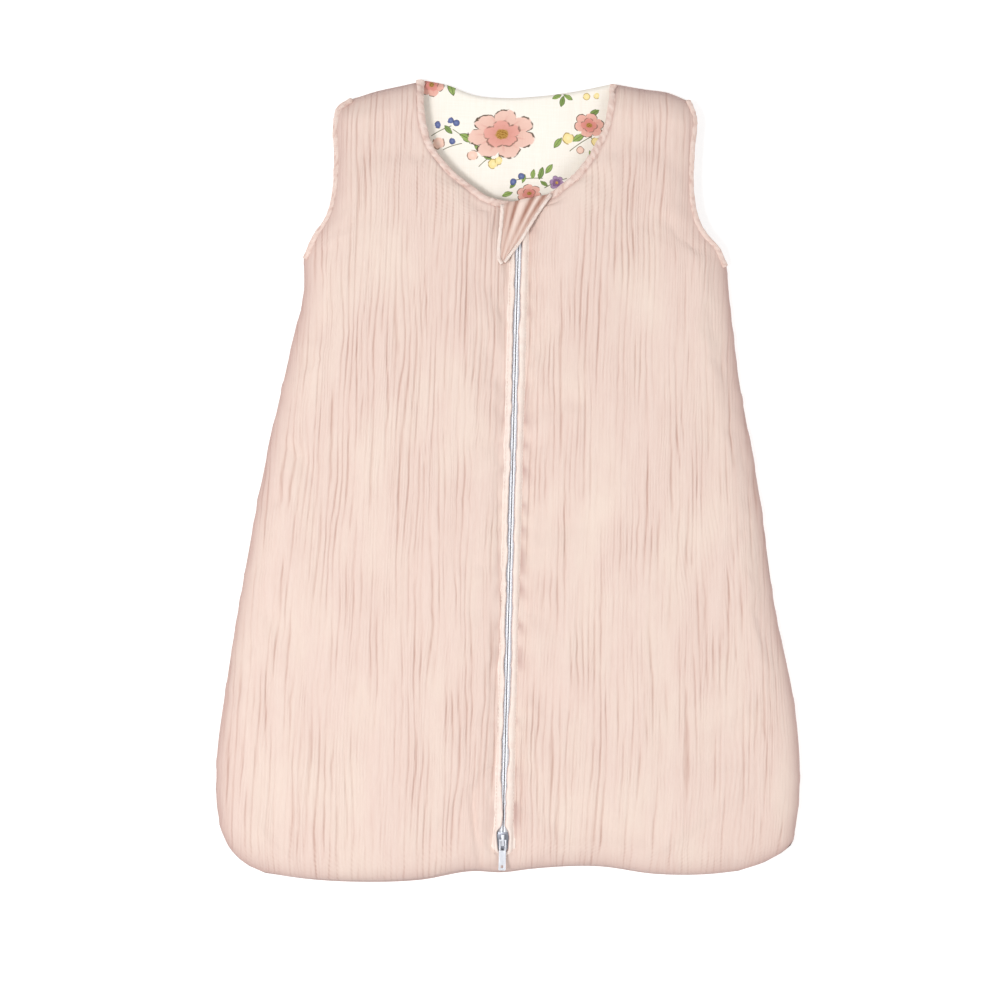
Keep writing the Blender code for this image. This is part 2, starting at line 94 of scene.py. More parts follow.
NECK = {
    "right": ((0.0, 0.2425), (0.0247, 0.2500), (0.0380, 0.2600), (0.0487, 0.2697), (0.0579, 0.2822),
              (0.0656, 0.2959), (0.0720, 0.3124), (0.0749, 0.3287), (0.0762, 0.3480)),
    "left": ((0.0, 0.2425), (0.0184, 0.2437), (0.0279, 0.2467), (0.0390, 0.2533), (0.0527, 0.2630),
             (0.0666, 0.2762), (0.0779, 0.2921), (0.0831, 0.3083), (0.0856, 0.3259), (0.0862, 0.3470)),
}
HEM = ((-0.206, -0.3485), (-0.170, -0.3527), (-0.121, -0.3540), (-0.072, -0.3510), (-0.024, -0.3420),
       (0.0, -0.3425), (0.024, -0.3390), (0.085, -0.3350), (0.134, -0.3403), (0.182, -0.3391), (0.206, -0.3358))
BACK_NECK = ((-0.086, 0.3475), (-0.067, 0.3442), (-0.042, 0.3358), (-0.018, 0.3339), (0.007, 0.3354),
             (0.043, 0.3407), (0.079, 0.3490))

# Heights of each layer: at a seam, and where it lies flat.
SHELL_Z = (0.0042, 0.0200)
FRONT_LINING_Z = (0.0036, 0.0143)
BACK_LINING_Z = (0.0026, 0.0058)
BACK_SHELL_Z = (0.0036, 0.0004)
SIDE_ROUNDING = 0.030
HEM_ROUNDING = 0.020
SHOULDER_ROUNDING = 0.024
ARMHOLE_DROP = 0.0022
CLOTH_THICKNESS = 0.0005

ROLL_RADIUS = 0.0031
ROLL_TO_CLOTH = 0.0050
BACK_EDGE_Z = 0.0031
FRONT_EDGE_Z = 0.0170
CHAIN_Z = (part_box("zip_coil_right")[0].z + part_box("zip_coil_right")[1].z) / 2
ZIP_TOP_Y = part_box("zip_band_right")[1].y
ZIP_BOTTOM_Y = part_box("zip_band_right")[0].y
COIL_Y = (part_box("zip_coil_right")[0].y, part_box("zip_coil_right")[1].y)
SHELL_EDGE_X = {"right": 0.0082, "left": 0.0068}
LINING_EDGE_X = 0.0065
BATTING_EDGE_X = 0.0150
NECK_CENTRE_Y = 0.322

# Rows and columns of a front shell's grids, and how far the simulation may move a point.
FINE = (140, 330)
COARSE = (96, 40)
GREATEST_SWELL = np.array((0.0010, 0.0010, 0.0030))
SIMULATED_FRAMES = 22
COIL_PITCH = 0.00125
COIL_CENTRE_X = 0.00120
FLOOR_Z = -0.0002
FLOOR_HALF_SIZE = 15


# --- Numbers -------------------------------------------------------------------------------------------

def ease(value):
    value = np.clip(value, 0.0, 1.0)
    return value * value * (3 - 2 * value)


def bell(value, width):
    """1 where the value is 0, dying away over the width."""
    return np.exp(-(value / width) ** 2)


def noise(x, y, cell_x, cell_y, seed):
    """Smooth noise from -1 to 1 on a lattice of seeded random values."""
    table = np.random.default_rng(seed).uniform(-1, 1, (256, 256))
    u, v = np.asarray(x) / cell_x + 128.0, np.asarray(y) / cell_y + 128.0
    i, j = np.floor(u).astype(int), np.floor(v).astype(int)
    s, t = ease(u - i), ease(v - j)
    low = table[i % 256, j % 256] * (1 - s) + table[(i + 1) % 256, j % 256] * s
    high = table[i % 256, (j + 1) % 256] * (1 - s) + table[(i + 1) % 256, (j + 1) % 256] * s
    return low * (1 - t) + high * t


def noise_along(y, cell, seed):
    """Smooth noise that changes in one direction only."""
    return noise(y, 0 * y, cell, 1.0, seed)


def unit(vectors):
    return vectors / np.linalg.norm(vectors, axis=1)[:, None]


def lengths_to(points):
    """The length of a path from its start to each of its points."""
    return np.concatenate([[0.0], np.cumsum(np.linalg.norm(np.diff(points, axis=0), axis=1))])


def stacked(x, y, z):
    """Coordinates of one shape, or that broadcast to it, as points."""
    return np.stack(np.broadcast_arrays(x, y, z), axis=-1)


def evenly(points, count):
    gone = lengths_to(points)
    wanted = np.linspace(0.0, gone[-1], count)
    return np.stack([np.interp(wanted, gone, points[:, axis]) for axis in range(points.shape[1])], axis=1)


def through(points, count):
    """Points spaced evenly along a smooth curve through the given ones."""
    given = np.array(points, float)
    at = lengths_to(given)
    slope = np.gradient(given, at, axis=0)
    fine = np.linspace(0.0, at[-1], 24 * len(given))
    k = np.clip(np.searchsorted(at, fine, "right") - 1, 0, len(given) - 2)
    step = (at[k + 1] - at[k])[:, None]
    s = (fine - at[k])[:, None] / step
    dense = ((2 * s**3 - 3 * s**2 + 1) * given[k] + (s**3 - 2 * s**2 + s) * step * slope[k]
             + (3 * s**2 - 2 * s**3) * given[k + 1] + (s**3 - s**2) * step * slope[k + 1])
    return evenly(dense, count)


def moved_out(points, distance):
    """A plan curve moved to its right as it runs, which is into the cloth on a neckline."""
    along = unit(np.gradient(points, axis=0))
    return points + distance * np.stack([along[:, 1], -along[:, 0]], axis=1)


def distance_to(x, y, line):
    """Distance from each point of a grid to a plan polyline."""
    points = np.stack([x.ravel(), y.ravel()], axis=1)
    least = np.full(len(points), np.inf)
    for a, b in zip(line, line[1:]):
        along = b - a
        if along @ along == 0:
            continue
        share = np.clip((points - a) @ along / (along @ along), 0, 1)
        least = np.minimum(least, np.linalg.norm(points - a - share[:, None] * along, axis=1))
    return least.reshape(x.shape)


def rounding(distance, reach):
    return np.sqrt(1 - (1 - np.clip(distance / reach, 0, 1)) ** 2)


def resample(grid, rows, columns):
    """A grid of values brought to another size with cubic interpolation."""
    for axis, count in ((0, rows), (1, columns)):
        size = grid.shape[axis]
        at = np.linspace(0, size - 1, count)
        k = np.clip(np.floor(at).astype(int), 0, size - 2)
        t = (at - k).reshape([-1 if one == axis else 1 for one in range(grid.ndim)])
        p = [np.take(grid, np.clip(k + offset, 0, size - 1), axis) for offset in (-1, 0, 1, 2)]
        grid = p[1] + 0.5 * t * (p[2] - p[0] + t * (2 * p[0] - 5 * p[1] + 4 * p[2] - p[3]
                                                    + t * (3 * (p[1] - p[2]) + p[3] - p[0])))
    return grid


# --- The bag's shape ------------------------------------------------------------------------------------

def hem_y(x):
    line = through(HEM, 80)
    return np.interp(x, line[:, 0], line[:, 1])


def outer_edge(side, count, inset=0.0, from_armhole=0.0):
    """A half's outer edge in plan, from the hem's corner to the shoulder, as positive distances."""
    armhole = through(ARMHOLE[side], 60)
    inward = moved_out(armhole, -from_armhole) - armhole
    armhole = armhole + inward * ease(np.arange(60) / 8)[:, None]
    return evenly(np.concatenate([through(SIDE[side], 200), armhole[1:]]) - (inset, 0.0), count)


def inner_edge(side, count, zip_x, from_neck):
    """A front half's inner edge: up beside the zip, round the neckline and up the strap."""
    neck = moved_out(through(NECK[side], 120), from_neck)
    neck = neck[neck[:, 0] > zip_x]
    y = np.linspace(float(hem_y(0.0)), neck[0][1], 160)[:-1]
    waver = 0.0009 * noise_along(y, 0.017, 11) + 0.0004 * noise_along(y, 0.006, 12)
    x = 0.0002 + (zip_x + waver) * ease((y - ZIP_BOTTOM_Y + 0.001) / 0.022)
    return evenly(np.concatenate([np.stack([x, y], axis=1), neck]), count)


def front_plan(side, rows, columns, zip_x, from_neck, inset=0.0, from_armhole=0.0034):
    """Plan grid of a front half, a row for each step up and a column for each step out."""
    inner = inner_edge(side, rows, zip_x, from_neck)
    outer = outer_edge(side, rows, inset, from_armhole)
    share = np.linspace(0, 1, columns)[None, :, None]
    plan = inner[:, None] * (1 - share) + outer[:, None] * share
    x, y = SIDES[side] * plan[..., 0], plan[..., 1]
    hem = (hem_y(x[0]) + inset - y[0])[None, :]
    y = y + hem * np.exp(-np.linspace(0, 0.74, rows) / 0.035)[:, None]
    top = through(SHOULDER[side], 60)[::-1]
    shoulder = np.interp(np.abs(x[-1]), top[:, 0], top[:, 1]) - inset - y[-1]
    y = y + shoulder[None, :] * np.exp((np.linspace(0, 0.74, rows) - 0.74) / 0.03)[:, None]
    return x, y


def back_plan(rows, columns, inset=0.0):
    """Plan grid of the back, from side to side, dipping at the neck."""
    right, left = outer_edge("right", rows) - (inset, 0), outer_edge("left", rows) - (inset, 0)
    share = np.linspace(0, 1, columns)[None, :]
    x = -left[:, :1] * (1 - share) + right[:, :1] * share
    y = left[:, 1:] * (1 - share) + right[:, 1:] * share
    gone = np.linspace(0, 0.74, rows)[:, None]
    y = y + (hem_y(x[0]) + inset - y[0])[None, :] * np.exp(-gone / 0.035)
    tops = np.concatenate([through(SHOULDER["left"], 30) * (-1, 1) - (0, inset), through(BACK_NECK, 60),
                           through(SHOULDER["right"], 30)[::-1] - (0, inset)])
    top = np.interp(x[-1], tops[:, 0], tops[:, 1])
    start = rows - int(rows * 0.21)
    ramp = np.clip((np.arange(rows) - start) / (rows - 1 - start), 0, 1)[:, None]
    y = y + (top - y[-1])[None, :] * ramp**1.5
    return x, y


SIDE_LINES = {side: through(SIDE[side], 60) for side in SIDES}
SHOULDER_LINES = {side: through(SHOULDER[side], 16) for side in SIDES}
ARMHOLE_LINES = {side: through(ARMHOLE[side], 30) for side in SIDES}


def openness(x, y):
    """0 on a seam, rising to 1 where the bag is at its full height."""
    value = rounding(y - hem_y(x), HEM_ROUNDING)
    for side, sign in SIDES.items():
        here = np.sign(x + 1e-9) == sign
        away = distance_to(np.abs(x), y, SIDE_LINES[side])
        up = distance_to(np.abs(x), y, SHOULDER_LINES[side])
        value = np.where(here, value * rounding(away, SIDE_ROUNDING) * rounding(up, SHOULDER_ROUNDING), value)
    return value


def armhole_drop(x, y):
    """How much the front comes down towards its bound edges."""
    value = np.zeros_like(x)
    for side, sign in SIDES.items():
        away = distance_to(np.abs(x), y, ARMHOLE_LINES[side])
        value = np.where(np.sign(x + 1e-9) == sign, 1 - ease(away / 0.022), value)
    return ARMHOLE_DROP * value


def height(layer, x, y):
    return layer[0] + (layer[1] - layer[0]) * openness(x, y)


def crease_lines(x, y, pitch, seed):
    """Many thin upright creases that waver and fade: a number that is whole on each one, and its strength."""
    fan = 1 - 0.10 * ease(np.abs(x) / 0.25) * ease((0.19 - y) / 0.5)
    sway = 0.0030 * noise(x, y, 0.030, 0.110, seed) + 0.0020 * noise(x, y, 0.0090, 0.060, seed + 1)
    sway += 0.0005 * noise(x, y, 0.0060, 0.014, seed + 2)
    strength = 0.50 + 0.75 * noise(x, y, 0.0065, 0.050, seed + 3) + 0.25 * noise(x, y, 0.040, 0.080, seed + 4)
    return (x * fan + sway) / pitch, np.clip(strength, 0, 1)


DEEP_PITCH, THIN_PITCH = 0.0052, 0.0027


def creases(x, y):
    """Relief of the gauze: soft upright ribs between thin furrows."""
    number, strength = crease_lines(x, y, DEEP_PITCH, 1)
    away = np.abs(number - np.round(number)) * DEEP_PITCH
    return 0.2 + 0.4 * noise(x, y, 0.0045, 0.050, 6) - strength * bell(away, 0.0010)


def crinkled(obj, x, y, relief):
    """Gives a gauze piece what its material draws the creases, and their painted shade, from."""
    cloth_plan(obj, x, y)
    attribute(obj, "crinkle", relief)
    for name, pitch, seed in (("deep_creases", DEEP_PITCH, 1), ("thin_creases", THIN_PITCH, 11)):
        number, strength = crease_lines(x, y, pitch, seed)
        attribute(obj, name, stacked(number, strength, 0.0))


def groove(x, y, points, width, depth, fade=0.02):
    """A fold's channel along a plan line: depth below the cloth, dying away at the line's ends."""
    line = through(points, 24)
    away = distance_to(x, y, line)
    length = np.linalg.norm(np.diff(line, axis=0), axis=1).sum()
    from_ends = np.minimum(np.hypot(x - line[0][0], y - line[0][1]), np.hypot(x - line[-1][0], y - line[-1][1]))
    return depth * bell(away, width) * ease(from_ends / min(fade, length / 2))


# The photo's larger folds: each one's line in plan, half width and depth.
FOLDS = (
    (((-0.027, -0.262), (-0.0265, -0.285), (-0.023, -0.310), (-0.019, -0.343)), 0.0030, 0.0030),
    (((-0.034, -0.205), (-0.031, -0.235), (-0.0275, -0.262)), 0.0060, 0.0014),
    (((-0.0125, -0.262), (-0.0115, -0.285), (-0.0125, -0.302)), 0.0022, 0.0018),
    (((0.0135, -0.170), (0.0130, -0.220), (0.0125, -0.262), (0.0110, -0.300), (0.0085, -0.322)), 0.0034, 0.0030),
    (((0.0375, -0.318), (0.0340, -0.332), (0.0290, -0.340)), 0.0045, 0.0018),
    (((0.0150, 0.050), (0.0145, -0.060), (0.0135, -0.170)), 0.0030, 0.0012),
    (((-0.2270, -0.205), (-0.2340, -0.240), (-0.2350, -0.275)), 0.0060, 0.0016),
    (((0.0600, 0.252), (0.0640, 0.236), (0.0650, 0.216)), 0.0030, 0.0012),
    (((0.0730, 0.270), (0.0775, 0.252), (0.0790, 0.228)), 0.0030, 0.0014),
    (((0.0850, 0.294), (0.0890, 0.272), (0.0900, 0.245)), 0.0030, 0.0012),
)


def folds(x, y):
    return sum(groove(x, y, *fold) for fold in FOLDS)


# --- Meshes ---------------------------------------------------------------------------------------------

def grid_faces(rows, columns, closed=False):
    """Quads of a grid of vertices, its last column joined to its first if it is closed."""
    wide = columns if closed else columns - 1
    row, column = np.meshgrid(np.arange(rows - 1), np.arange(wide), indexing="ij")
    after = (column + 1) % columns
    faces = np.stack([row * columns + column, row * columns + after,
                      (row + 1) * columns + after, (row + 1) * columns + column], axis=-1)
    return faces.reshape(-1, 4)


def link(name, data):
    """A new object in the scene."""
    obj = bpy.data.objects.new(name, data)
    bpy.context.scene.collection.objects.link(obj)
    return obj


def smooth(mesh, value=True):
    mesh.polygons.foreach_set("use_smooth", np.full(len(mesh.polygons), value))


def make_mesh(name, points, faces, material, smoothed=True):
    points = np.asarray(points, np.float64).reshape(-1, 3)
    mesh = bpy.data.meshes.new(name)
    mesh.vertices.add(len(points))
    mesh.vertices.foreach_set("co", points.astype(np.float32).ravel())
    mesh.loops.add(faces.size)
    mesh.loops.foreach_set("vertex_index", faces.astype(np.int32).ravel())
    mesh.polygons.add(len(faces))
    mesh.polygons.foreach_set("loop_start", np.arange(0, faces.size, faces.shape[1], dtype=np.int32))
    mesh.update(calc_edges=True)
    mesh.validate()
    smooth(mesh, smoothed)
    mesh.materials.append(material)
    return link(name, mesh)


def attribute(obj, name, values):
    """A value for each vertex: one number, or a vector of three."""
    values = np.asarray(values, np.float32)
    vector = values.ndim > 1 and values.shape[-1] == 3
    made = obj.data.attributes.new(name, "FLOAT_VECTOR" if vector else "FLOAT", "POINT")
    made.data.foreach_set("vector" if vector else "value", values.ravel())


def cloth_plan(obj, x, y):
    attribute(obj, "cloth", stacked(x, y, 0.0))


def thicken(obj, thickness=CLOTH_THICKNESS, offset=-1.0):
    solid = obj.modifiers.new("Thickness", "SOLIDIFY")
    solid.thickness = thickness
    solid.offset = offset
    return obj


def edited(mesh, work):
    """Runs work on the mesh as a bmesh, and turns all of its faces outwards."""
    bm = bmesh.new()
    bm.from_mesh(mesh)
    work(bm)
    bmesh.ops.recalc_face_normals(bm, faces=bm.faces[:])
    bm.to_mesh(mesh)
    bm.free()


def fill_holes(bm, sides):
    bmesh.ops.holes_fill(bm, edges=[edge for edge in bm.edges if edge.is_boundary], sides=sides)


def merge_close(bm):
    bmesh.ops.remove_doubles(bm, verts=bm.verts[:], dist=1e-6)


def joined_ends(obj):
    """Caps the open ends of a tube and merges a closed one's last ring into its first."""
    edited(obj.data, lambda bm: (merge_close(bm), fill_holes(bm, 64)))
    return obj


def closed_ends(obj):
    """Caps the ends of many small rods."""
    edited(obj.data, lambda bm: fill_holes(bm, 8))
    smooth(obj.data)
    return obj


def fold_with_lapel(obj):
    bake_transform(obj)
    return obj


# --- Shader arithmetic ----------------------------------------------------------------------------------

class Number:
    """A shader value that plain arithmetic works on."""

    def __init__(self, tree, socket):
        self.tree, self.socket = tree, socket

    def math(self, operation, *others):
        node = self.tree.nodes.new("ShaderNodeMath")
        node.operation = operation
        for index, value in enumerate((self, *others)):
            if isinstance(value, Number):
                self.tree.links.new(value.socket, node.inputs[index])
            else:
                node.inputs[index].default_value = value
        return Number(self.tree, node.outputs[0])

    def __add__(self, other):
        return self.math("ADD", other)

    def __mul__(self, other):
        return self.math("MULTIPLY", other)

    def __sub__(self, other):
        return self.math("SUBTRACT", other)

    def times_and(self, factor, extra):
        return self.math("MULTIPLY_ADD", factor, extra)

    def size(self):
        return self.math("ABSOLUTE")

    def within(self, low, high):
        """0 at low, 1 at high, and held there on either side."""
        node = self.tree.nodes.new("ShaderNodeMapRange")
        node.inputs["From Min"].default_value = low
        node.inputs["From Max"].default_value = high
        self.tree.links.new(self.socket, node.inputs["Value"])
        return Number(self.tree, node.outputs[0])


class Nodes:
    """Short ways to add shader nodes to a tree."""

    def __init__(self, tree):
        self.tree = tree

    def put(self, socket, value):
        """Gives a socket a link, a number, a vector or a display colour."""
        if isinstance(value, Number):
            value = value.socket
        if isinstance(value, bpy.types.NodeSocket):
            self.tree.links.new(value, socket)
        elif socket.type == "RGBA":
            socket.default_value = (*linear(value), 1.0)
        else:
            socket.default_value = value

    def attribute(self, name, output="Fac"):
        node = self.tree.nodes.new("ShaderNodeAttribute")
        node.attribute_name = name
        return node.outputs[output]

    def position(self):
        return self.tree.nodes.new("ShaderNodeTexCoord").outputs["Object"]

    def placed(self, vector, location=(0, 0, 0), turn=(0, 0, 0), scale=(1, 1, 1)):
        """The vector seen from a place that is moved, turned and scaled."""
        node = self.tree.nodes.new("ShaderNodeMapping")
        node.vector_type = "TEXTURE"
        for name, value in (("Vector", vector), ("Location", location), ("Rotation", turn), ("Scale", scale)):
            self.put(node.inputs[name], value)
        return node.outputs[0]

    def noise(self, vector, cell, detail=2.0, roughness=0.5):
        """Noise between 0 and 1 with cells of the given size along each axis."""
        node = self.tree.nodes.new("ShaderNodeTexNoise")
        node.inputs["Scale"].default_value = 1.0
        node.inputs["Detail"].default_value = detail
        node.inputs["Roughness"].default_value = roughness
        self.tree.links.new(self.placed(vector, scale=cell), node.inputs["Vector"])
        return Number(self.tree, node.outputs["Fac"])

    def wave(self, vector, period, turn=0.0):
        """A sine from 0 to 1 that repeats at the given distance."""
        x = self.parts(self.placed(vector, turn=(0, 0, turn)))[0]
        return (x * (2 * math.pi / period)).math("SINE").times_and(0.5, 0.5)

    def parts(self, vector):
        node = self.tree.nodes.new("ShaderNodeSeparateXYZ")
        self.tree.links.new(vector, node.inputs[0])
        return [Number(self.tree, output) for output in node.outputs]

    def mix(self, share, first, second, kind="MIX"):
        node = self.tree.nodes.new("ShaderNodeMix")
        node.data_type = "RGBA"
        node.blend_type = kind
        for index, value in ((0, share), (6, first), (7, second)):
            self.put(node.inputs[index], value)
        return node.outputs[2]


class Shader(Nodes):
    """A material's node tree with its principled shader."""

    def __init__(self, name, roughness=0.9, metallic=0.0, sheen=0.0, specular=0.3):
        self.material = bpy.data.materials.new(name)
        self.material.use_nodes = True
        super().__init__(self.material.node_tree)
        self.principled = self.tree.nodes["Principled BSDF"]
        settings = {"Roughness": roughness, "Metallic": metallic, "Sheen Weight": sheen,
                    "Sheen Roughness": 0.5, "Specular IOR Level": specular}
        for socket, value in settings.items():
            self.principled.inputs[socket].default_value = value

    def finish(self, colour, bump=None, distance=0.0002, strength=1.0):
        self.tree.links.new(colour, self.principled.inputs["Base Color"])
        if bump is not None:
            node = self.tree.nodes.new("ShaderNodeBump")
            node.inputs["Distance"].default_value = distance
            node.inputs["Strength"].default_value = strength
            self.tree.links.new(bump.socket, node.inputs["Height"])
            self.tree.links.new(node.outputs[0], self.principled.inputs["Normal"])
        return self.material


def linear(colour):
    """A display colour of three parts from 0 to 255 as linear light."""
    parts = [value / 255 for value in colour]
    return [v / 12.92 if v <= 0.04045 else ((v + 0.055) / 1.055) ** 2.4 for v in parts]


class Motif(Nodes):
    """A node group that paints one motif of a print over the colour given to it."""

    SOCKETS = {"Colour": "NodeSocketColor", "Place": "NodeSocketVector", "Centre": "NodeSocketVector",
               "Turn": "NodeSocketVector", "Size": "NodeSocketVector", "Pale": "NodeSocketColor",
               "Deep": "NodeSocketColor", "Eye": "NodeSocketColor", "Wash": "NodeSocketFloat",
               "Dashes": "NodeSocketFloat", "Wobble": "NodeSocketFloat"}

    def __init__(self, name):
        super().__init__(bpy.data.node_groups.new(name, "ShaderNodeTree"))
        for socket, kind in self.SOCKETS.items():
            self.tree.interface.new_socket(socket, in_out="INPUT", socket_type=kind)
        self.tree.interface.new_socket("Colour", in_out="OUTPUT", socket_type="NodeSocketColor")
        given = self.tree.nodes.new("NodeGroupInput")
        self.given = {socket: given.outputs[socket] for socket in self.SOCKETS}
        self.wash, self.dashes, self.wobble = (Number(self.tree, self.given[name]) for name in
                                               ("Wash", "Dashes", "Wobble"))
        self.colour = self.given["Colour"]
        where = self.placed(self.given["Place"], self.given["Centre"], self.given["Turn"], self.given["Size"])
        self.across, self.up, _ = self.parts(where)

    def paint(self, mask, colour):
        self.colour = self.mix(mask, self.colour, colour)

    def shaded(self, colour, tint):
        """A colour darkened by a tint."""
        return self.mix(1.0, self.given[colour], tint, "MULTIPLY")

    def finish(self):
        made = self.tree.nodes.new("NodeGroupOutput")
        self.tree.links.new(self.colour, made.inputs["Colour"])
        return self.tree


def leaf_motif():
    """A pointed leaf with a dashed outline and a midrib."""
    motif = Motif("leaf")
    blade = (motif.across * motif.across).times_and(-1.0, 1.0) - motif.up.size()
    rib = motif.up.size().times_and(-1.0, 0.10).within(0.0, 0.06)
    body = blade.within(0.0, 0.10)
    motif.paint((blade + 0.18).within(0.0, 0.10) * motif.dashes.within(0.36, 0.44), motif.given["Deep"])
    motif.paint(body, motif.mix(motif.wash.within(0.35, 0.65), motif.shaded("Pale", (236, 240, 226)),
                                motif.given["Pale"]))
    motif.paint(body * rib, motif.given["Deep"])
    return motif.finish()


def dot_motif():
    """A berry or a bud: a disc with a broken rim and a lighter middle."""
    motif = Motif("dot")
    out = (motif.across * motif.across + motif.up * motif.up).math("SQRT") + (motif.wobble - 0.5) * 0.5
    motif.paint(out.within(1.18, 1.06) * motif.dashes.within(0.40, 0.46), motif.given["Deep"])
    motif.paint(out.within(1.0, 0.88), motif.given["Pale"])
    motif.paint(out.within(0.55, 0.15) * 0.5, motif.given["Eye"])
    return motif.finish()


def stem_motif():
    """A thin bowed line."""
    motif = Motif("stem")
    bow = (motif.across * motif.across).times_and(1.6, -0.8)
    line = (motif.up + bow).size().within(1.0, 0.5)
    motif.paint(line * motif.across.size().within(1.0, 0.95), motif.given["Deep"])
    return motif.finish()


def blossom_motif(petals):
    """An open flower: a ring of outlined petals, a smaller deeper ring, and a seeded eye."""
    motif = Motif(f"blossom_{petals}")
    angle = motif.up.math("ARCTAN2", motif.across)
    out = (motif.across * motif.across + motif.up * motif.up).math("SQRT") + (motif.wobble - 0.5) * 0.16
    veins = (angle * 11.0).math("SINE").within(0.70, 1.0)
    for reach, count, phase, tint in ((1.0, petals, 0.0, "Pale"), (0.56, petals - 2, 0.9, "Deep")):
        lobes = (angle.times_and(count / 2, phase)).math("SINE").size().math("POWER", 0.45)
        gap = lobes.times_and(0.30 * reach, 0.70 * reach) - out
        inside = gap.within(0.0, 0.03)
        shade = out.within(0.35 * reach, 1.0 * reach) * 0.7 + motif.wash * 0.3
        motif.paint(inside, motif.mix(shade, motif.shaded(tint, (238, 226, 222)), motif.given[tint]))
        motif.paint(inside * veins * out.within(0.8 * reach, 0.5 * reach) * 0.5, motif.shaded("Deep", (238, 222, 220)))
        rim = (gap - 0.02).size().within(0.045, 0.015)
        motif.paint(rim * motif.dashes.within(0.42, 0.50) * (1.0 if reach == 1.0 else 0.7), (92, 78, 62))
    motif.paint(out.within(0.22, 0.17), motif.given["Eye"])
    seeds = motif.noise(motif.given["Place"], (0.0009, 0.0009, 1.0), 0.0)
    motif.paint(out.within(0.20, 0.15) * seeds.within(0.50, 0.58), motif.shaded("Eye", (200, 180, 150)))
    return motif.finish()


# --- Materials ------------------------------------------------------------------------------------------

# Gauze colours: the ridge colour is painted highlight, the valley colour painted shade, and the seam colour painted
# shade at edges, grooves and puckers.
GAUZE_LIT_RIDGE = (235, 215, 205)
GAUZE_MIDDLE = (226, 201, 190)
GAUZE_SHADED_VALLEY = (198, 163, 150)
GAUZE_CREAM = (238, 222, 208)
GAUZE_PAINTED_SHADE = (178, 141, 135)


def gauze(name, lit_ridge=GAUZE_LIT_RIDGE, middle=GAUZE_MIDDLE, shaded_valley=GAUZE_SHADED_VALLEY, mottle=0.45, shading=0.42):
    """Crinkled double gauze: creases in the relief, thinner streaks between them, and an open plain weave, with painted
    shade in the valleys and furrows and painted highlight on the ridges.
    """
    shader = Shader(name, roughness=0.92, sheen=0.12, specular=0.2)
    place = shader.attribute("cloth", "Vector")
    relief = Number(shader.tree, shader.attribute("crinkle"))
    # The "seam" attribute holds painted shade: where it is high the colour goes to the painted shade colour.
    shade = Number(shader.tree, shader.attribute("seam"))
    streaks = shader.noise(place, (0.0016, 0.024, 1.0), 3.0, 0.6)
    furrows = []
    for lines, width in (("deep_creases", 0.24), ("thin_creases", 0.34)):
        number, strength, _ = shader.parts(shader.attribute(lines, "Vector"))
        furrows.append(((number + 0.5).math("FRACT") - 0.5).size().within(width, 0.0) * strength)
    # The level darkens in the valleys and furrows as painted shade and lightens on the ridges as painted highlight.
    level = relief * shading + (streaks - 0.5) * 0.50 - furrows[0] * 0.36 - furrows[1] * 0.22 + 0.65
    colour = shader.mix(level.within(0.0, 0.5), shaded_valley, middle)
    colour = shader.mix(level.within(0.5, 1.0), colour, lit_ridge)
    broad = shader.noise(place, (0.050, 0.110, 1.0), 3.0, 0.55)
    colour = shader.mix(broad.within(0.46, 0.70) * mottle, colour, GAUZE_CREAM)
    colour = shader.mix(shade, colour, GAUZE_PAINTED_SHADE)
    weave = shader.wave(place, 0.0009) * shader.wave(place, 0.0009, math.pi / 2)
    threads = shader.noise(place, (0.0004, 0.0025, 1.0), 1.0)
    bump = streaks * 0.9 - furrows[0] * 0.9 - furrows[1] * 0.6 + weave * 0.25 + threads * 0.35
    return shader.finish(colour, bump, 0.0004, 0.8)


def plain_weave(name, colour, shade, period=0.0008):
    shader = Shader(name, roughness=0.85, sheen=0.1, specular=0.3)
    place = shader.position()
    weave = shader.wave(place, period) * shader.wave(place, period, math.pi / 2)
    slubs = shader.noise(place, (0.0006, 0.006, 0.002), 2.0)
    mixed = shader.mix(weave * 0.5 + slubs * 0.5, shade, colour)
    return shader.finish(mixed, weave + slubs * 0.5, 0.0002, 0.8)


def fibre(name):
    """Bonded polyester wadding: soft white fibres in all directions."""
    shader = Shader(name, roughness=1.0, sheen=0.2, specular=0.2)
    place = shader.position()
    tangle = shader.noise(place, (0.003, 0.004, 0.003), 6.0, 0.7)
    strands = shader.noise(shader.placed(place, turn=(0, 0, 0.6)), (0.0005, 0.010, 0.004), 2.0)
    mixed = shader.mix(tangle * 0.6 + strands * 0.4, (214, 213, 208), (252, 252, 250))
    return shader.finish(mixed, tangle + strands, 0.0012, 1.0)


def moulded(name, colour, shade, painted_glow=0.0):
    shader = Shader(name, roughness=0.35, specular=0.5)
    grain = shader.noise(shader.position(), (0.0006, 0.0006, 0.0006), 3.0)
    # The glow is painted light: an emission that brightens the part where it lies in shade.
    shader.principled.inputs["Emission Color"].default_value = (0.90, 0.93, 1.0, 1.0)
    shader.principled.inputs["Emission Strength"].default_value = painted_glow
    return shader.finish(shader.mix(grain, shade, colour), grain, 0.00005, 0.5)


def metal(name, shade, colour):
    """Plated zinc with light brushing and cloudy wear."""
    shader = Shader(name, roughness=0.26, metallic=0.7, specular=0.6)
    place = shader.position()
    brushed = shader.noise(place, (0.00015, 0.004, 0.004), 2.0)
    cloudy = shader.noise(place, (0.002, 0.003, 0.002), 3.0)
    mixed = shader.mix(brushed * 0.4 + cloudy * 0.6, shade, colour)
    shader.put(shader.principled.inputs["Roughness"], cloudy.times_and(0.22, 0.2))
    return shader.finish(mixed, brushed, 0.00003, 0.6)


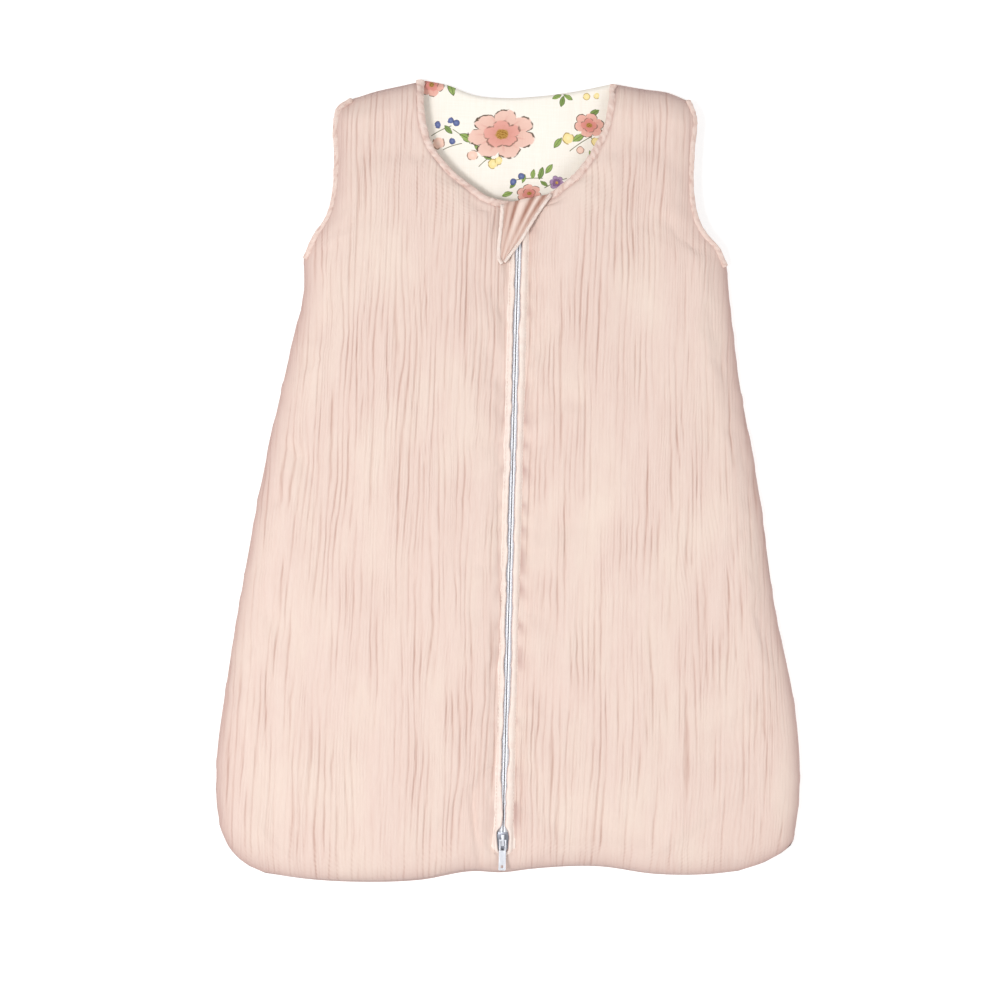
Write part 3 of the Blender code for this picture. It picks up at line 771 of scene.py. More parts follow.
ROSE = ((243, 206, 192), (234, 172, 160), (190, 146, 74))
CORAL = ((240, 188, 174), (226, 152, 142), (178, 140, 74))
MAUVE = ((178, 150, 190), (146, 112, 160), (216, 176, 90))
GREEN = ((154, 178, 104), (84, 98, 56))
OLIVE = ((134, 158, 92), (74, 86, 52))
STALK = ((104, 110, 74), (104, 110, 74))
BLUE = ((98, 110, 158), (52, 56, 92), (146, 156, 196))
YELLOW = ((246, 226, 160), (170, 140, 70), (252, 242, 200))
PINK = ((246, 208, 190), (150, 110, 90), (252, 228, 216))

PRINT_TILE = (0.170, 0.150)
PRINT_START = (-0.092, 0.2130)
# Each motif's centre, turn in degrees, half length and half width, in one tile of the print.
STEMS = ((-0.052, 0.2995, -38, 0.0100), (-0.070, 0.3040, 28, 0.0100), (-0.060, 0.2905, 20, 0.0090),
         (0.052, 0.2960, 35, 0.0120), (0.060, 0.3020, -50, 0.0080), (-0.030, 0.2790, 40, 0.0090),
         (0.031, 0.2610, 25, 0.0110), (0.008, 0.2640, 5, 0.0120))
LEAVES = ((-0.0470, 0.2980, -25, 0.0075, GREEN), (-0.0640, 0.3050, -45, 0.0050, OLIVE),
          (-0.0370, 0.2890, -35, 0.0045, GREEN), (-0.0290, 0.2815, -20, 0.0040, OLIVE),
          (0.0500, 0.3010, 35, 0.0065, GREEN), (0.0320, 0.2960, 55, 0.0055, GREEN),
          (0.0630, 0.3230, 30, 0.0055, OLIVE), (0.0620, 0.2860, -60, 0.0045, GREEN),
          (0.0300, 0.3360, 25, 0.0045, GREEN), (0.0350, 0.3320, 80, 0.0050, OLIVE),
          (0.0400, 0.3360, -30, 0.0045, GREEN), (-0.0110, 0.2500, 20, 0.0050, GREEN),
          (-0.0060, 0.2580, 45, 0.0040, OLIVE), (0.0030, 0.2640, 75, 0.0040, GREEN),
          (0.0110, 0.2680, 80, 0.0045, GREEN), (0.0180, 0.2690, 75, 0.0055, OLIVE),
          (0.0250, 0.2730, 55, 0.0050, GREEN), (0.0210, 0.2600, -35, 0.0040, OLIVE),
          (-0.0620, 0.3420, -75, 0.0075, GREEN))
DOTS = ((-0.0730, 0.3090, 0.0028, BLUE), (-0.0620, 0.3130, 0.0026, BLUE), (-0.0570, 0.3110, 0.0026, BLUE),
        (-0.0600, 0.2950, 0.0026, BLUE), (-0.0060, 0.2610, 0.0026, BLUE), (0.0010, 0.2660, 0.0026, BLUE),
        (-0.0720, 0.2930, 0.0050, PINK), (-0.0420, 0.2830, 0.0044, PINK), (-0.0240, 0.2760, 0.0040, YELLOW),
        (-0.0190, 0.2790, 0.0032, YELLOW), (0.0410, 0.3000, 0.0046, YELLOW), (0.0520, 0.2900, 0.0030, PINK),
        (0.0560, 0.3370, 0.0028, YELLOW), (0.0650, 0.3380, 0.0026, YELLOW), (0.0650, 0.2980, 0.0034, YELLOW))
BLOSSOMS = ((-0.0170, 0.3020, 8, 0.0300, 0.72, 7, ROSE), (0.0590, 0.3120, -15, 0.0135, 0.80, 6, CORAL),
            (0.0080, 0.2510, 10, 0.0110, 0.75, 6, CORAL), (0.0320, 0.2610, 20, 0.0065, 0.95, 6, MAUVE),
            (-0.0795, 0.3440, 15, 0.0115, 0.95, 6, CORAL))


def floral(name):
    """Cream muslin with a scattered flower print that repeats over a tile."""
    shader = Shader(name, roughness=0.9, sheen=0.08, specular=0.25)
    place = shader.attribute("cloth", "Vector")
    slubs = shader.noise(place, (0.0012, 0.020, 1.0), 2.0)
    crossing = shader.noise(place, (0.020, 0.0012, 1.0), 2.0)
    colour = shader.mix(slubs * 0.5 + crossing * 0.5, (243, 234, 220), (254, 250, 243))
    wrap = shader.tree.nodes.new("ShaderNodeVectorMath")
    wrap.operation = "WRAP"
    wrap.inputs[1].default_value = (PRINT_START[0] + PRINT_TILE[0], PRINT_START[1] + PRINT_TILE[1], 1.0)
    wrap.inputs[2].default_value = (*PRINT_START, -1.0)
    shader.tree.links.new(place, wrap.inputs[0])
    tile = wrap.outputs[0]
    shared = {"Place": tile, "Wobble": shader.noise(tile, (0.004, 0.004, 1.0), 2.0),
              "Dashes": shader.noise(tile, (0.0060, 0.0060, 1.0), 0.0),
              "Wash": shader.noise(tile, (0.005, 0.007, 1.0), 3.0)}
    leaf, dot, stem = leaf_motif(), dot_motif(), stem_motif()
    blossoms = {petals: blossom_motif(petals) for petals in (6, 7)}
    work = [(stem, x, y, turn, half, 0.00045, STALK) for x, y, turn, half in STEMS]
    work += [(leaf, x, y, turn, half, half * 0.42, tint) for x, y, turn, half, tint in LEAVES]
    work += [(dot, x, y, 0, half, half, tint) for x, y, half, tint in DOTS]
    work += [(blossoms[count], x, y, turn, half, half * flat, tint) for x, y, turn, half, flat, count, tint in BLOSSOMS]
    for group, x, y, turn, half, half_width, tint in work:
        node = shader.tree.nodes.new("ShaderNodeGroup")
        node.node_tree = group
        values = {"Colour": colour, "Centre": (x, y, 0), "Turn": (0, 0, math.radians(turn)),
                  "Size": (half, half_width, 1), **dict(zip(("Pale", "Deep", "Eye"), tint)), **shared}
        for socket, value in values.items():
            shader.put(node.inputs[socket], value)
        colour = node.outputs["Colour"]
    weave = shader.wave(place, 0.0009) * shader.wave(place, 0.0009, math.pi / 2)
    return shader.finish(colour, slubs + crossing + weave * 0.3, 0.0002, 0.7)


GAUZE = gauze("pink_gauze", shading=0.16)
ROLL_GAUZE = gauze("pink_gauze_roll", (239, 217, 207), (230, 203, 192), (203, 167, 156), 0.15, 0.50)
# A lit copy of the gauze: paler colours as painted highlight on the lips' rounded folds and on the guard's hems.
LIT_LIP_GAUZE = gauze("pale_gauze_lip", (245, 231, 222), (239, 220, 210), (214, 184, 173), 0.3)
# The guard's valley colour is painted shade in the flap's folds.
GUARD_GAUZE = gauze("pink_gauze_guard", (236, 214, 203), (216, 186, 173), (172, 128, 112), 0.1, 0.62)
PRINTED = floral("printed_muslin")
BATTING = fibre("wadding_fibre")
TAPE = plain_weave("zip_tape_weave", (244, 244, 246), (206, 207, 214))
# The coil's glow is painted light, a bluish emission that brightens the coil in the shaded slot between the lips.
NYLON = moulded("zip_nylon", (255, 255, 255), (238, 241, 250), 0.30)
PLASTIC = moulded("zip_plastic", (244, 245, 248), (220, 222, 228))
METAL = metal("zip_plated", (206, 209, 219), (246, 248, 253))
# A shaded copy of the plating: darker colours as painted shade on the slider's body.
SHADED_METAL = metal("zip_plated_dark", (116, 118, 128), (176, 179, 190))
THREAD = plain_weave("stitch_thread", (250, 236, 228), (222, 196, 184), 0.0004)


# --- Cloth pieces ---------------------------------------------------------------------------------------

def swell_of(side):
    """How a front half puffs and puckers between its seams, from a cloth simulation on a coarse grid."""
    rows, columns = COARSE
    x, y = front_plan(side, rows, columns, SHELL_EDGE_X[side], ROLL_TO_CLOTH)
    start = stacked(x, y, height(SHELL_Z, x, y))
    obj = make_mesh(f"swell_{side}", start, grid_faces(rows, columns), GAUZE)
    pinned = obj.vertex_groups.new(name="pinned")
    index = np.arange(rows * columns).reshape(rows, columns)
    edges = np.unique(np.concatenate([index[0], index[-1], index[:, 0], index[:, -1]]))
    pinned.add([int(value) for value in edges], 1.0, "REPLACE")
    cloth = obj.modifiers.new("Cloth", "CLOTH")
    settings = cloth.settings
    settings.vertex_group_mass = "pinned"
    settings.shrink_min = -0.022
    settings.use_pressure = True
    settings.uniform_pressure_force = 0.35 * SIDES[side]
    settings.tension_stiffness = 12
    settings.compression_stiffness = 12
    settings.bending_stiffness = 0.6
    settings.mass = 0.2
    settings.effector_weights.gravity = 0
    scene = bpy.context.scene
    for number in range(1, SIMULATED_FRAMES + 1):
        scene.frame_set(number)
    graph = bpy.context.evaluated_depsgraph_get()
    moved = np.empty(rows * columns * 3, np.float32)
    obj.evaluated_get(graph).data.vertices.foreach_get("co", moved)
    scene.frame_set(1)
    bpy.data.objects.remove(obj)
    swell = np.nan_to_num(moved.reshape(rows, columns, 3) - start)
    swell = GREATEST_SWELL * np.tanh(swell / GREATEST_SWELL)
    inside = ease(edge_distance(x, y) / 0.025)[..., None]
    return np.maximum(swell, (-1, -1, -0.0004)) * inside


def neck_distance(side, x, y):
    return distance_to(np.abs(x), y, moved_out(through(NECK[side], 60), ROLL_TO_CLOTH))


def front_relief(side):
    """The fine grid of a front shell: plan, crease relief and points."""
    rows, columns = FINE
    x, y = front_plan(side, rows, columns, SHELL_EDGE_X[side], ROLL_TO_CLOTH)
    swell = resample(swell_of(side), rows, columns)
    open_share = openness(x, y)
    relief = creases(x, y)
    away = distance_to(x, y, [np.array((0.0, -0.36)), np.array((0.0, 0.24))])
    beside_zip = ease((away - SHELL_EDGE_X[side]) / 0.012) + ease((ZIP_BOTTOM_Y - 0.004 - y) / 0.008)
    seam_dip = 0.0022 * (1 - np.clip(beside_zip, 0, 1))
    broad = 0.0011 * noise(x, y, 0.055, 0.110, 21) + 0.0006 * noise(x, y, 0.022, 0.055, 22)
    z = height(SHELL_Z, x, y) - armhole_drop(x, y) - seam_dip - folds(x, y)
    from_neck = neck_distance(side, x, y)
    z += (broad + 0.00034 * relief * ease(from_neck / 0.06)) * np.clip(open_share * 1.4 - 0.15, 0, 1)
    z -= 0.0013 * bell(from_neck, 0.0026)
    turn = np.arctan2(x, NECK_CENTRE_Y + 0.03 - y)
    gathers = noise_along(turn, 0.045, 24) * np.exp(-from_neck / 0.011)
    z += (0.0009 if side == "right" else 0.0005) * gathers * (y < NECK_CENTRE_Y)
    z -= 0.0014 * zip_puckers(side, x, y)
    over_tape = (np.abs(x) < 0.0148) & (y > ZIP_BOTTOM_Y - 0.001)
    z = np.where(over_tape, np.maximum(z, CHAIN_Z + 0.0012), z)
    edge = 1 - ease(distance_to(np.abs(x), y, SIDE_LINES[side]) / 0.012)
    ripple = 0.0009 * noise(x, y, 1.0, 0.011, 23) * edge
    points = stacked(x + SIDES[side] * ripple, y, z) + swell
    return x, y, relief, points


def zip_puckers(side, x, y):
    """Short dips that slant away from the seam beside the zip, deeper on the right."""
    away = np.abs(x) - SHELL_EDGE_X[side] - 0.0015
    wave = noise(y + 0.8 * away, 0 * y, 0.0105, 1.0, 27) + 0.5 * noise_along(y, 0.040, 28)
    share = bell(away, 0.0045) * (y < ZIP_TOP_Y) * (y > ZIP_BOTTOM_Y + 0.02)
    return (1.0 if side == "right" else 0.45) * np.clip(wave, 0, 1) * share


def make_front_shell(side):
    x, y, relief, points = front_relief(side)
    obj = make_mesh(f"muslin_front_{side}", points, grid_faces(*FINE), GAUZE)
    crinkled(obj, x, y, relief)
    from_neck = neck_distance(side, x, y)
    # The "seam" attribute is painted shade: darker near the outline, in the groove by the neck roll, and in the
    # puckers' dips beside the zip.
    seam = 0.75 * np.exp(-edge_distance(x, y) / 0.0060) + 0.45 * bell(from_neck, 0.0022)
    attribute(obj, "seam", np.clip(seam + 0.6 * zip_puckers(side, x, y), 0, 0.8))
    outward(obj)
    thicken(obj)
    fold_with_lapel(obj)
    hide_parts(f"front_shell_{side}", f"lapel_shell_{side}")


def outward(obj, up=True):
    """Turns every face of an open sheet to look up, or down."""
    normals = np.empty(len(obj.data.polygons) * 3, np.float32)
    obj.data.polygons.foreach_get("normal", normals)
    if (normals[2::3].mean() < 0) == up:
        obj.data.flip_normals()


def lining_height(x, y):
    """The front lining's height, which stays well under the shell beside a seam."""
    return FRONT_LINING_Z[0] + (FRONT_LINING_Z[1] - FRONT_LINING_Z[0]) * openness(x, y) ** 2


def make_front_lining(side):
    rows, columns = 120, 70
    x, y = front_plan(side, rows, columns, LINING_EDGE_X, ROLL_TO_CLOTH - 0.001, 0.0016, 0.0046)
    z = lining_height(x, y) + 0.0004 * noise(x, y, 0.03, 0.06, 31)
    obj = make_mesh(f"printed_front_{side}", stacked(x, y, z), grid_faces(rows, columns), PRINTED)
    cloth_plan(obj, -x, y)
    outward(obj, up=False)
    thicken(obj, 0.0004)
    fold_with_lapel(obj)
    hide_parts(f"front_lining_{side}", f"lapel_lining_{side}")


def pad(name, x, y, under, upper, seed):
    """A closed pad between two heights, thin at its edges and lumpy over its faces."""
    rows, columns = x.shape
    index = np.arange(rows)[:, None], np.arange(columns)[None, :]
    from_edge = np.minimum(np.minimum(index[0], rows - 1 - index[0]) / 3,
                           np.minimum(index[1], columns - 1 - index[1]) / 3)
    full = rounding(from_edge, 1.0)
    middle, half = (under + upper) / 2, (upper - under) / 2
    lumps = 1 - 0.12 * (1 + noise(x, y, 0.010, 0.012, seed))
    half = half * (0.25 + 0.75 * full) * lumps
    top = stacked(x, y, middle + half)
    bottom = stacked(x, y, middle - half)
    faces = grid_faces(rows, columns)
    rim = np.concatenate([np.arange(columns), columns * np.arange(1, rows) + columns - 1,
                          (rows - 1) * columns + np.arange(columns - 2, -1, -1),
                          columns * np.arange(rows - 2, 0, -1)])
    after = np.roll(rim, -1)
    count = rows * columns
    walls = np.stack([rim, after, after + count, rim + count], axis=1)
    faces = np.concatenate([faces[:, ::-1], faces + count, walls])
    obj = make_mesh(name, np.concatenate([top.reshape(-1, 3), bottom.reshape(-1, 3)]), faces, BATTING)
    edited(obj.data, lambda bm: None)
    return obj


def make_front_wadding(side):
    x, y = front_plan(side, 90, 42, BATTING_EDGE_X, ROLL_TO_CLOTH + 0.002, 0.010)
    x, y = x[6:-6], y[6:-6]
    low = lining_height(x, y) + 0.0008
    high = height(SHELL_Z, x, y) - armhole_drop(x, y) - folds(x, y) - 0.0022
    obj = pad(f"batting_front_{side}", x, y, low, np.maximum(high, low + 0.0006), 41)
    fold_with_lapel(obj)
    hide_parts(f"front_wadding_{side}", f"lapel_wadding_{side}")


def make_back():
    rows, columns = 180, 240
    x, y = back_plan(rows, columns)
    relief = creases(x, y)
    lift = 1 - rounding(edge_distance(x, y), 0.010)
    z = BACK_SHELL_Z[1] + (BACK_SHELL_Z[0] - BACK_SHELL_Z[1]) * lift + 0.0003 * (1 + relief) * (1 - lift)
    shell = make_mesh("muslin_back", stacked(x, y, z), grid_faces(rows, columns), GAUZE)
    crinkled(shell, x, y, relief)
    outward(shell, up=False)
    thicken(shell, 0.0003)
    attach(shell, "root")
    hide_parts("back_shell")

    rows, columns = 150, 180
    x, y = back_plan(rows, columns, 0.0048)
    waves = 0.0008 * noise(x, y, 0.028, 0.070, 51) + 0.0002 * noise(x, y, 0.0045, 0.040, 52)
    lift = 1 - rounding(edge_distance(x, y), 0.008)
    z = BACK_LINING_Z[1] + (waves - 0.0012 * lift) + 0.0003
    lining = make_mesh("printed_back", stacked(x, y, z), grid_faces(rows, columns), PRINTED)
    cloth_plan(lining, x, y)
    outward(lining)
    thicken(lining, 0.0004)
    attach(lining, "root")
    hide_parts("back_lining")

    x, y = back_plan(90, 90)
    x, y = x[4:-4, 3:-3], y[4:-4, 3:-3]
    flat = np.zeros_like(x)
    batting = pad("batting_back", x, y, flat + 0.0014, flat + 0.0046, 42)
    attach(batting, "root")
    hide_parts("back_wadding")


def edge_distance(x, y):
    """Distance to the bag's outline: sides, armholes, shoulders, hem and back neckline."""
    value = np.minimum(y - hem_y(x), 1.0)
    value = np.minimum(value, distance_to(x, y, through(BACK_NECK, 24)))
    for side, sign in SIDES.items():
        line = np.concatenate([SIDE_LINES[side], ARMHOLE_LINES[side], SHOULDER_LINES[side]])
        value = np.minimum(value, distance_to(sign * x, y, line))
    return np.maximum(value, 0.0)


# --- Bound edges ----------------------------------------------------------------------------------------

def roll(name, path, out, width, thickness, pucker, material, closed=False, ring=16):
    """A rolled edge swept along a path of points, with puckers where its seam gathers it."""
    count = len(path)
    up = unit(np.cross(unit(np.gradient(path, axis=0)), out))
    if not closed:
        up *= np.where(up[:, 2:3] < 0, -1.0, 1.0)
    gone = lengths_to(path)
    angles = np.linspace(0, 2 * math.pi, ring, endpoint=False)
    section, relief = [], []
    for index in range(count):
        seed = len(name)
        gathers = noise(gone[index] + 0.002 * np.cos(angles), 0.004 * angles, 0.0026, 0.004, seed)
        broad = noise(np.full(ring, gone[index]), angles * 0, 0.012, 1.0, seed + 1)
        radius = 1 + pucker * gathers + 0.06 * broad
        section.append(np.stack([width * radius * np.cos(angles), thickness * radius * np.sin(angles)], axis=1))
        relief.append(gathers)
    rows = np.array([point + part[:, :1] * across + part[:, 1:] * rise
                     for point, part, across, rise in zip(path, section, unit(out), up)])
    relief = np.array(relief)
    if closed:
        rows, relief = np.concatenate([rows, rows[:1]]), np.concatenate([relief, relief[:1]])
    obj = make_mesh(name, rows, grid_faces(len(rows), ring, True), material)
    shape = relief.shape
    length = np.broadcast_to(np.append(gone, gone[-1])[:shape[0], None], shape)
    cloth_plan(obj, length * 0.5, angles * 0.02)
    # The gathers' dips become painted shade through the gauze's crinkle colour.
    attribute(obj, "crinkle", relief)
    return joined_ends(obj)


def plan_normal(path):
    """A plan vector square to a path, to the right as it runs."""
    along = unit(np.gradient(path[:, :2], axis=0))
    return np.stack([along[:, 1], -along[:, 0], np.zeros(len(path))], axis=1)


def make_neck_roll(side):
    """The front neckline's binding: round the neck from the zip, up the strap and over the shoulder seam."""
    line = moved_out(through(NECK[side], 260), ROLL_RADIUS)
    line = line[line[:, 0] > 0.0024]
    drop = ease((line[:, 1] - (NECK_CENTRE_Y + 0.006)) / 0.020)
    z = FRONT_EDGE_Z + 0.0006 - 0.0100 * drop
    path = stacked(SIDES[side] * line[:, 0], line[:, 1], z)
    obj = roll(f"neck_roll_{side}", path, plan_normal(path), 0.0033, 0.0028, 0.13, ROLL_GAUZE)
    fold_with_lapel(obj)
    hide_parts(f"neck_binding_{side}", f"strap_binding_{side}")


def make_armhole_roll(side):
    """A closed roll: up the armhole's front edge, over the shoulder and down its back edge."""
    line = moved_out(through(ARMHOLE[side], 150), -0.0020)
    inner = moved_out(line, -0.0030)
    rise = height(SHELL_Z, SIDES[side] * inner[:, 0], inner[:, 1]) - ARMHOLE_DROP - 0.0012
    level = np.maximum(rise, BACK_EDGE_Z + 0.0024)
    front = stacked(line[:, 0], line[:, 1], level)
    back = stacked(line[:, 0], line[:, 1], BACK_EDGE_Z)[::-1]
    loop = np.concatenate([front, back])
    flat = plan_normal(front)
    out = np.concatenate([flat, flat[::-1]])
    loop[:, 0] *= SIDES[side]
    out[:, 0] *= SIDES[side]
    obj = roll(f"armhole_roll_{side}", loop, out, 0.0025, 0.0022, 0.12, ROLL_GAUZE, closed=True, ring=12)
    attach(obj, "root")
    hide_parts(f"armhole_binding_{side}")


# --- The zip --------------------------------------------------------------------------------------------

# A lip's section, as distance from the zip's line and height over LIP_Z, from its underside to its sewn edge.
LIP_PROFILE = {
    "right": ((0.0036, 0.0005), (0.0024, 0.0007), (0.0027, 0.0010), (0.0034, 0.0017), (0.0043, 0.0021),
              (0.0055, 0.0019), (0.0070, 0.0010), (0.0082, -0.0004), (0.0094, -0.0012), (0.0110, -0.0014)),
    "left": ((0.0036, 0.0005), (0.0022, 0.0007), (0.0024, 0.0010), (0.0030, 0.0015), (0.0037, 0.0018),
             (0.0047, 0.0015), (0.0056, 0.0008), (0.0067, -0.0003), (0.0082, -0.0009), (0.0104, -0.0013)),
}
SEWN_POINT = 7
LIP_Z = 0.0186
# Within this distance of the zip's line a lip stays at least this high, clear of the slider's top plate.
OVER_SLIDER = (0.0057, 0.0193)
TAPE_EDGE_X = 0.0004


def make_lip(side):
    """The folded edge of the shell beside the zip, with a wavering fold and a groove where it is sewn down."""
    rows = 420
    profile = through(LIP_PROFILE[side], 22)
    y = np.linspace(ZIP_BOTTOM_Y + 0.0005, ZIP_TOP_Y + 0.004, rows)
    sign = SIDES[side]
    seed = 61 if sign > 0 else 62
    waver = 0.0007 * noise_along(y, 0.016, seed) + 0.0004 * noise_along(y, 0.0050, seed + 4)
    rise = 0.0004 * noise_along(y, 0.018, seed + 8) + 0.0003 * noise_along(y, 0.005, seed + 9)
    closing = 0.0017 * ease((-0.250 - y) / 0.045)
    round_slider = 0.0042 * ease((-0.2990 - y) / 0.007) * ease((y + 0.3260) / 0.006)
    inner = ease((0.0100 - profile[:, 0]) / 0.0070)[None, :]
    x = profile[None, :, 0] + (waver - closing + round_slider)[:, None] * inner
    x = np.maximum(x, 0.0004)
    sunk = 0.0030 * ease((-0.3185 - y) / 0.008) - 0.0006 * bell(y + 0.313, 0.008)
    z = LIP_Z + profile[None, :, 1] + rise[:, None] * inner
    z = np.where(x < OVER_SLIDER[0], np.maximum(z, OVER_SLIDER[1]), z) - sunk[:, None]
    points = stacked(sign * x, y[:, None], z)
    obj = make_mesh(f"zip_lip_{side}", points, grid_faces(rows, profile.shape[0]), LIT_LIP_GAUZE)
    plan_x = np.cumsum(np.concatenate([[0], np.linalg.norm(np.diff(profile, axis=0), axis=1)]))
    cloth_plan(obj, np.broadcast_to(plan_x, x.shape), np.broadcast_to(y[:, None], x.shape))
    attribute(obj, "crinkle", np.broadcast_to(noise_along(y, 0.003, seed + 2)[:, None] * 0.4 + 0.4, x.shape))
    # Painted shade on the lip's inner side, where it faces the zip's slot.
    painted_wall_shade = (0.75 if side == "right" else 0.60) * (1 - ease((profile[:, 0] - profile[:, 0].min()) / 0.0013))
    attribute(obj, "seam", np.broadcast_to(painted_wall_shade, x.shape))
    outward(obj)
    thicken(obj, 0.0004)
    fold_with_lapel(obj)
    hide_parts(f"zip_band_{side}")


def beads(name, centres, shape, material, turns=None):
    """Many copies of one small closed form, as (points, faces), joined in one mesh."""
    points, faces = shape
    all_points, all_faces = [], []
    for index, centre in enumerate(centres):
        here = points if turns is None else points @ turns[index].T
        all_points.append(here + centre)
        all_faces.append(faces + index * len(points))
    return make_mesh(name, np.concatenate(all_points), np.concatenate(all_faces), material)


def capsule(length, radius, rings=5, sides=6):
    """A rounded rod along Y as rings of quads that close to points at its ends."""
    at = np.linspace(0, math.pi, rings)
    y = -np.cos(at) * length / 2
    r = radius * np.sin(np.clip(at, 0.25, math.pi - 0.25)) ** 0.5
    r[0] = r[-1] = radius * 0.2
    angle = np.linspace(0, 2 * math.pi, sides, endpoint=False)
    points = np.stack([r[:, None] * np.cos(angle), np.broadcast_to(y[:, None], (rings, sides)),
                       r[:, None] * np.sin(angle)], axis=-1).reshape(-1, 3)
    return points, grid_faces(rings, sides, True)[:, ::-1]


def make_coil(side):
    """The moulded coil: a loop every pitch along the tape's edge, its head at the zip's middle."""
    sign = SIDES[side]
    y = np.arange(COIL_Y[0] + 0.0006, COIL_Y[1] - 0.0006, COIL_PITCH) + (0.5 * COIL_PITCH if sign > 0 else 0.0)
    points, faces = capsule(0.0018, 0.00052, 6, 6)
    turned = np.stack([points[:, 1], points[:, 0], points[:, 2] * 1.5], axis=1)
    centres = stacked(sign * COIL_CENTRE_X, y, CHAIN_Z + 0.0001)
    obj = closed_ends(beads(f"coil_loops_{side}", centres, (turned, faces), NYLON))
    fold_with_lapel(obj)
    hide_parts(f"zip_coil_{side}")


def make_tape(side):
    rows, columns = 260, 10
    low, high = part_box(f"zip_tape_{side}")
    inner, outer = sorted((abs(low.x), abs(high.x)))
    y = np.linspace(low.y, high.y, rows)[:, None]
    x = np.linspace(TAPE_EDGE_X, outer, columns)[None, :]
    waves = 0.00012 * noise_along(y, 0.010, 71)
    sag = 0.0008 * ease((x - inner) / (outer - inner)) + 0.0002 * (x < inner)
    grid = stacked(SIDES[side] * x, y, CHAIN_Z + waves - sag)
    obj = make_mesh(f"tape_weave_{side}", grid, grid_faces(rows, columns), TAPE)
    outward(obj)
    thicken(obj, 0.0004, 0.0)
    fold_with_lapel(obj)
    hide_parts(f"zip_tape_{side}")


def rounded_copy(name, node, material, body, width):
    """A CAD piece's own form with its edges eased, in a finished material."""
    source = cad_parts[node]
    bm = bmesh.new()
    bm.from_mesh(source.data)
    merge_close(bm)
    bmesh.ops.dissolve_limit(bm, angle_limit=math.radians(2), verts=bm.verts[:], edges=bm.edges[:])
    mesh = bpy.data.meshes.new(name)
    bm.to_mesh(mesh)
    bm.free()
    mesh.materials.clear()
    mesh.materials.append(material)
    obj = link(name, mesh)
    eased = obj.modifiers.new("Eased", "BEVEL")
    eased.width = width
    eased.segments = 3
    eased.limit_method = "ANGLE"
    eased.angle_limit = math.radians(40)
    eased.harden_normals = True
    smooth(mesh)
    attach(obj, body)
    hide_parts(node)
    return obj


def make_slider():
    rounded_copy("slider_body_metal", "zip_slider_body", SHADED_METAL, "slider", 0.00022)
    rounded_copy("slider_crown_metal", "zip_slider_crown", METAL, "slider", 0.00022)
    rounded_copy("pull_tab_metal", "zip_pull_tab", METAL, "pull_tab", 0.00025)
    for node, material in (("zip_bottom_stop", METAL), ("zip_insertion_pin", PLASTIC), ("zip_retainer_box", PLASTIC)):
        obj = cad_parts[node]
        obj.data.materials.clear()
        obj.data.materials.append(material)


# --- The guard ------------------------------------------------------------------------------------------

GUARD_TOP = ((-0.0160, 0.2392), (-0.0060, 0.2420), (0.0110, 0.2462), (0.0285, 0.2500))
GUARD_LEFT = ((-0.0160, 0.2392), (-0.0165, 0.2200), (-0.0174, 0.2000), (-0.0165, 0.1915), (-0.0136, 0.1872))
GUARD_DIAGONAL = ((0.0285, 0.2500), (0.0160, 0.2315), (0.0020, 0.2080), (-0.0120, 0.1885))
GUARD_Z = 0.0218


def guard_plan(rows, columns):
    """Plan grid of the guard, from its top edge down to its tip and from its left edge to its diagonal."""
    left, right = through(GUARD_LEFT, rows), through(GUARD_DIAGONAL, rows)
    top = through(GUARD_TOP, columns)
    share = np.linspace(0, 1, columns)[None, :, None]
    flat_top = left[0] * (1 - share) + right[0] * share
    plan = left[:, None] * (1 - share) + right[:, None] * share
    plan = plan + (top[None] - flat_top) * (1 - np.linspace(0, 1, rows)[:, None, None])
    return plan[..., 0], plan[..., 1]


def make_guard():
    """A gathered flap with soft upright folds, turned in along its left edge and its diagonal."""
    rows, columns = 96, 80
    x, y = guard_plan(rows, columns)
    down = np.linspace(0, 1, rows)[:, None] * np.ones((1, columns))
    across = np.linspace(0, 1, columns)[None, :] * np.ones((rows, 1))
    folds_at = ((0.32, 0.045, 1.1), (0.14, 0.040, 0.5), (0.62, 0.060, 1.0), (0.84, 0.060, 0.9))
    dips = sum(depth * bell(across + 0.05 * down - at, width) for at, width, depth in folds_at)
    ridges = bell(across - 0.44, 0.08) + 0.8 * bell(across - 0.73, 0.05)
    fading = 1 - 0.75 * ease(down / 0.75)
    relief = (ridges - dips) * fading
    hem = bell(across - 0.05, 0.04) + bell(across - 0.95, 0.04)
    curl = 0.0014 * (1 - ease(down / 0.06))
    z = GUARD_Z + 0.0011 + 0.0013 * relief + 0.0004 * hem - curl - 0.0008 * ease(down)
    z += 0.0002 * noise(x, y, 0.0022, 0.014, 81)
    obj = make_mesh("guard_flap", stacked(x, y, z), grid_faces(rows, columns), GUARD_GAUZE)
    cloth_plan(obj, x, y)
    # The crinkle attribute makes the folds' dips darker as painted shade and the ridges lighter as painted highlight.
    attribute(obj, "crinkle", np.clip(relief * 1.1 - 0.1, -1, 1))
    outward(obj)
    thicken(obj, 0.0006)
    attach(obj, "guard")
    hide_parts("zip_guard")
    for name, column, half_width in (("guard_left_hem", 2, 0.0017), ("guard_diagonal_hem", columns - 3, 0.0014)):
        path = stacked(x[:, column], y[:, column], z[:, column] + 0.0003)
        edge = roll(name, path[1:-1], plan_normal(path[1:-1]), half_width, 0.0007, 0.12, LIT_LIP_GAUZE, ring=10)
        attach(edge, "guard")


# --- Stitches -------------------------------------------------------------------------------------------

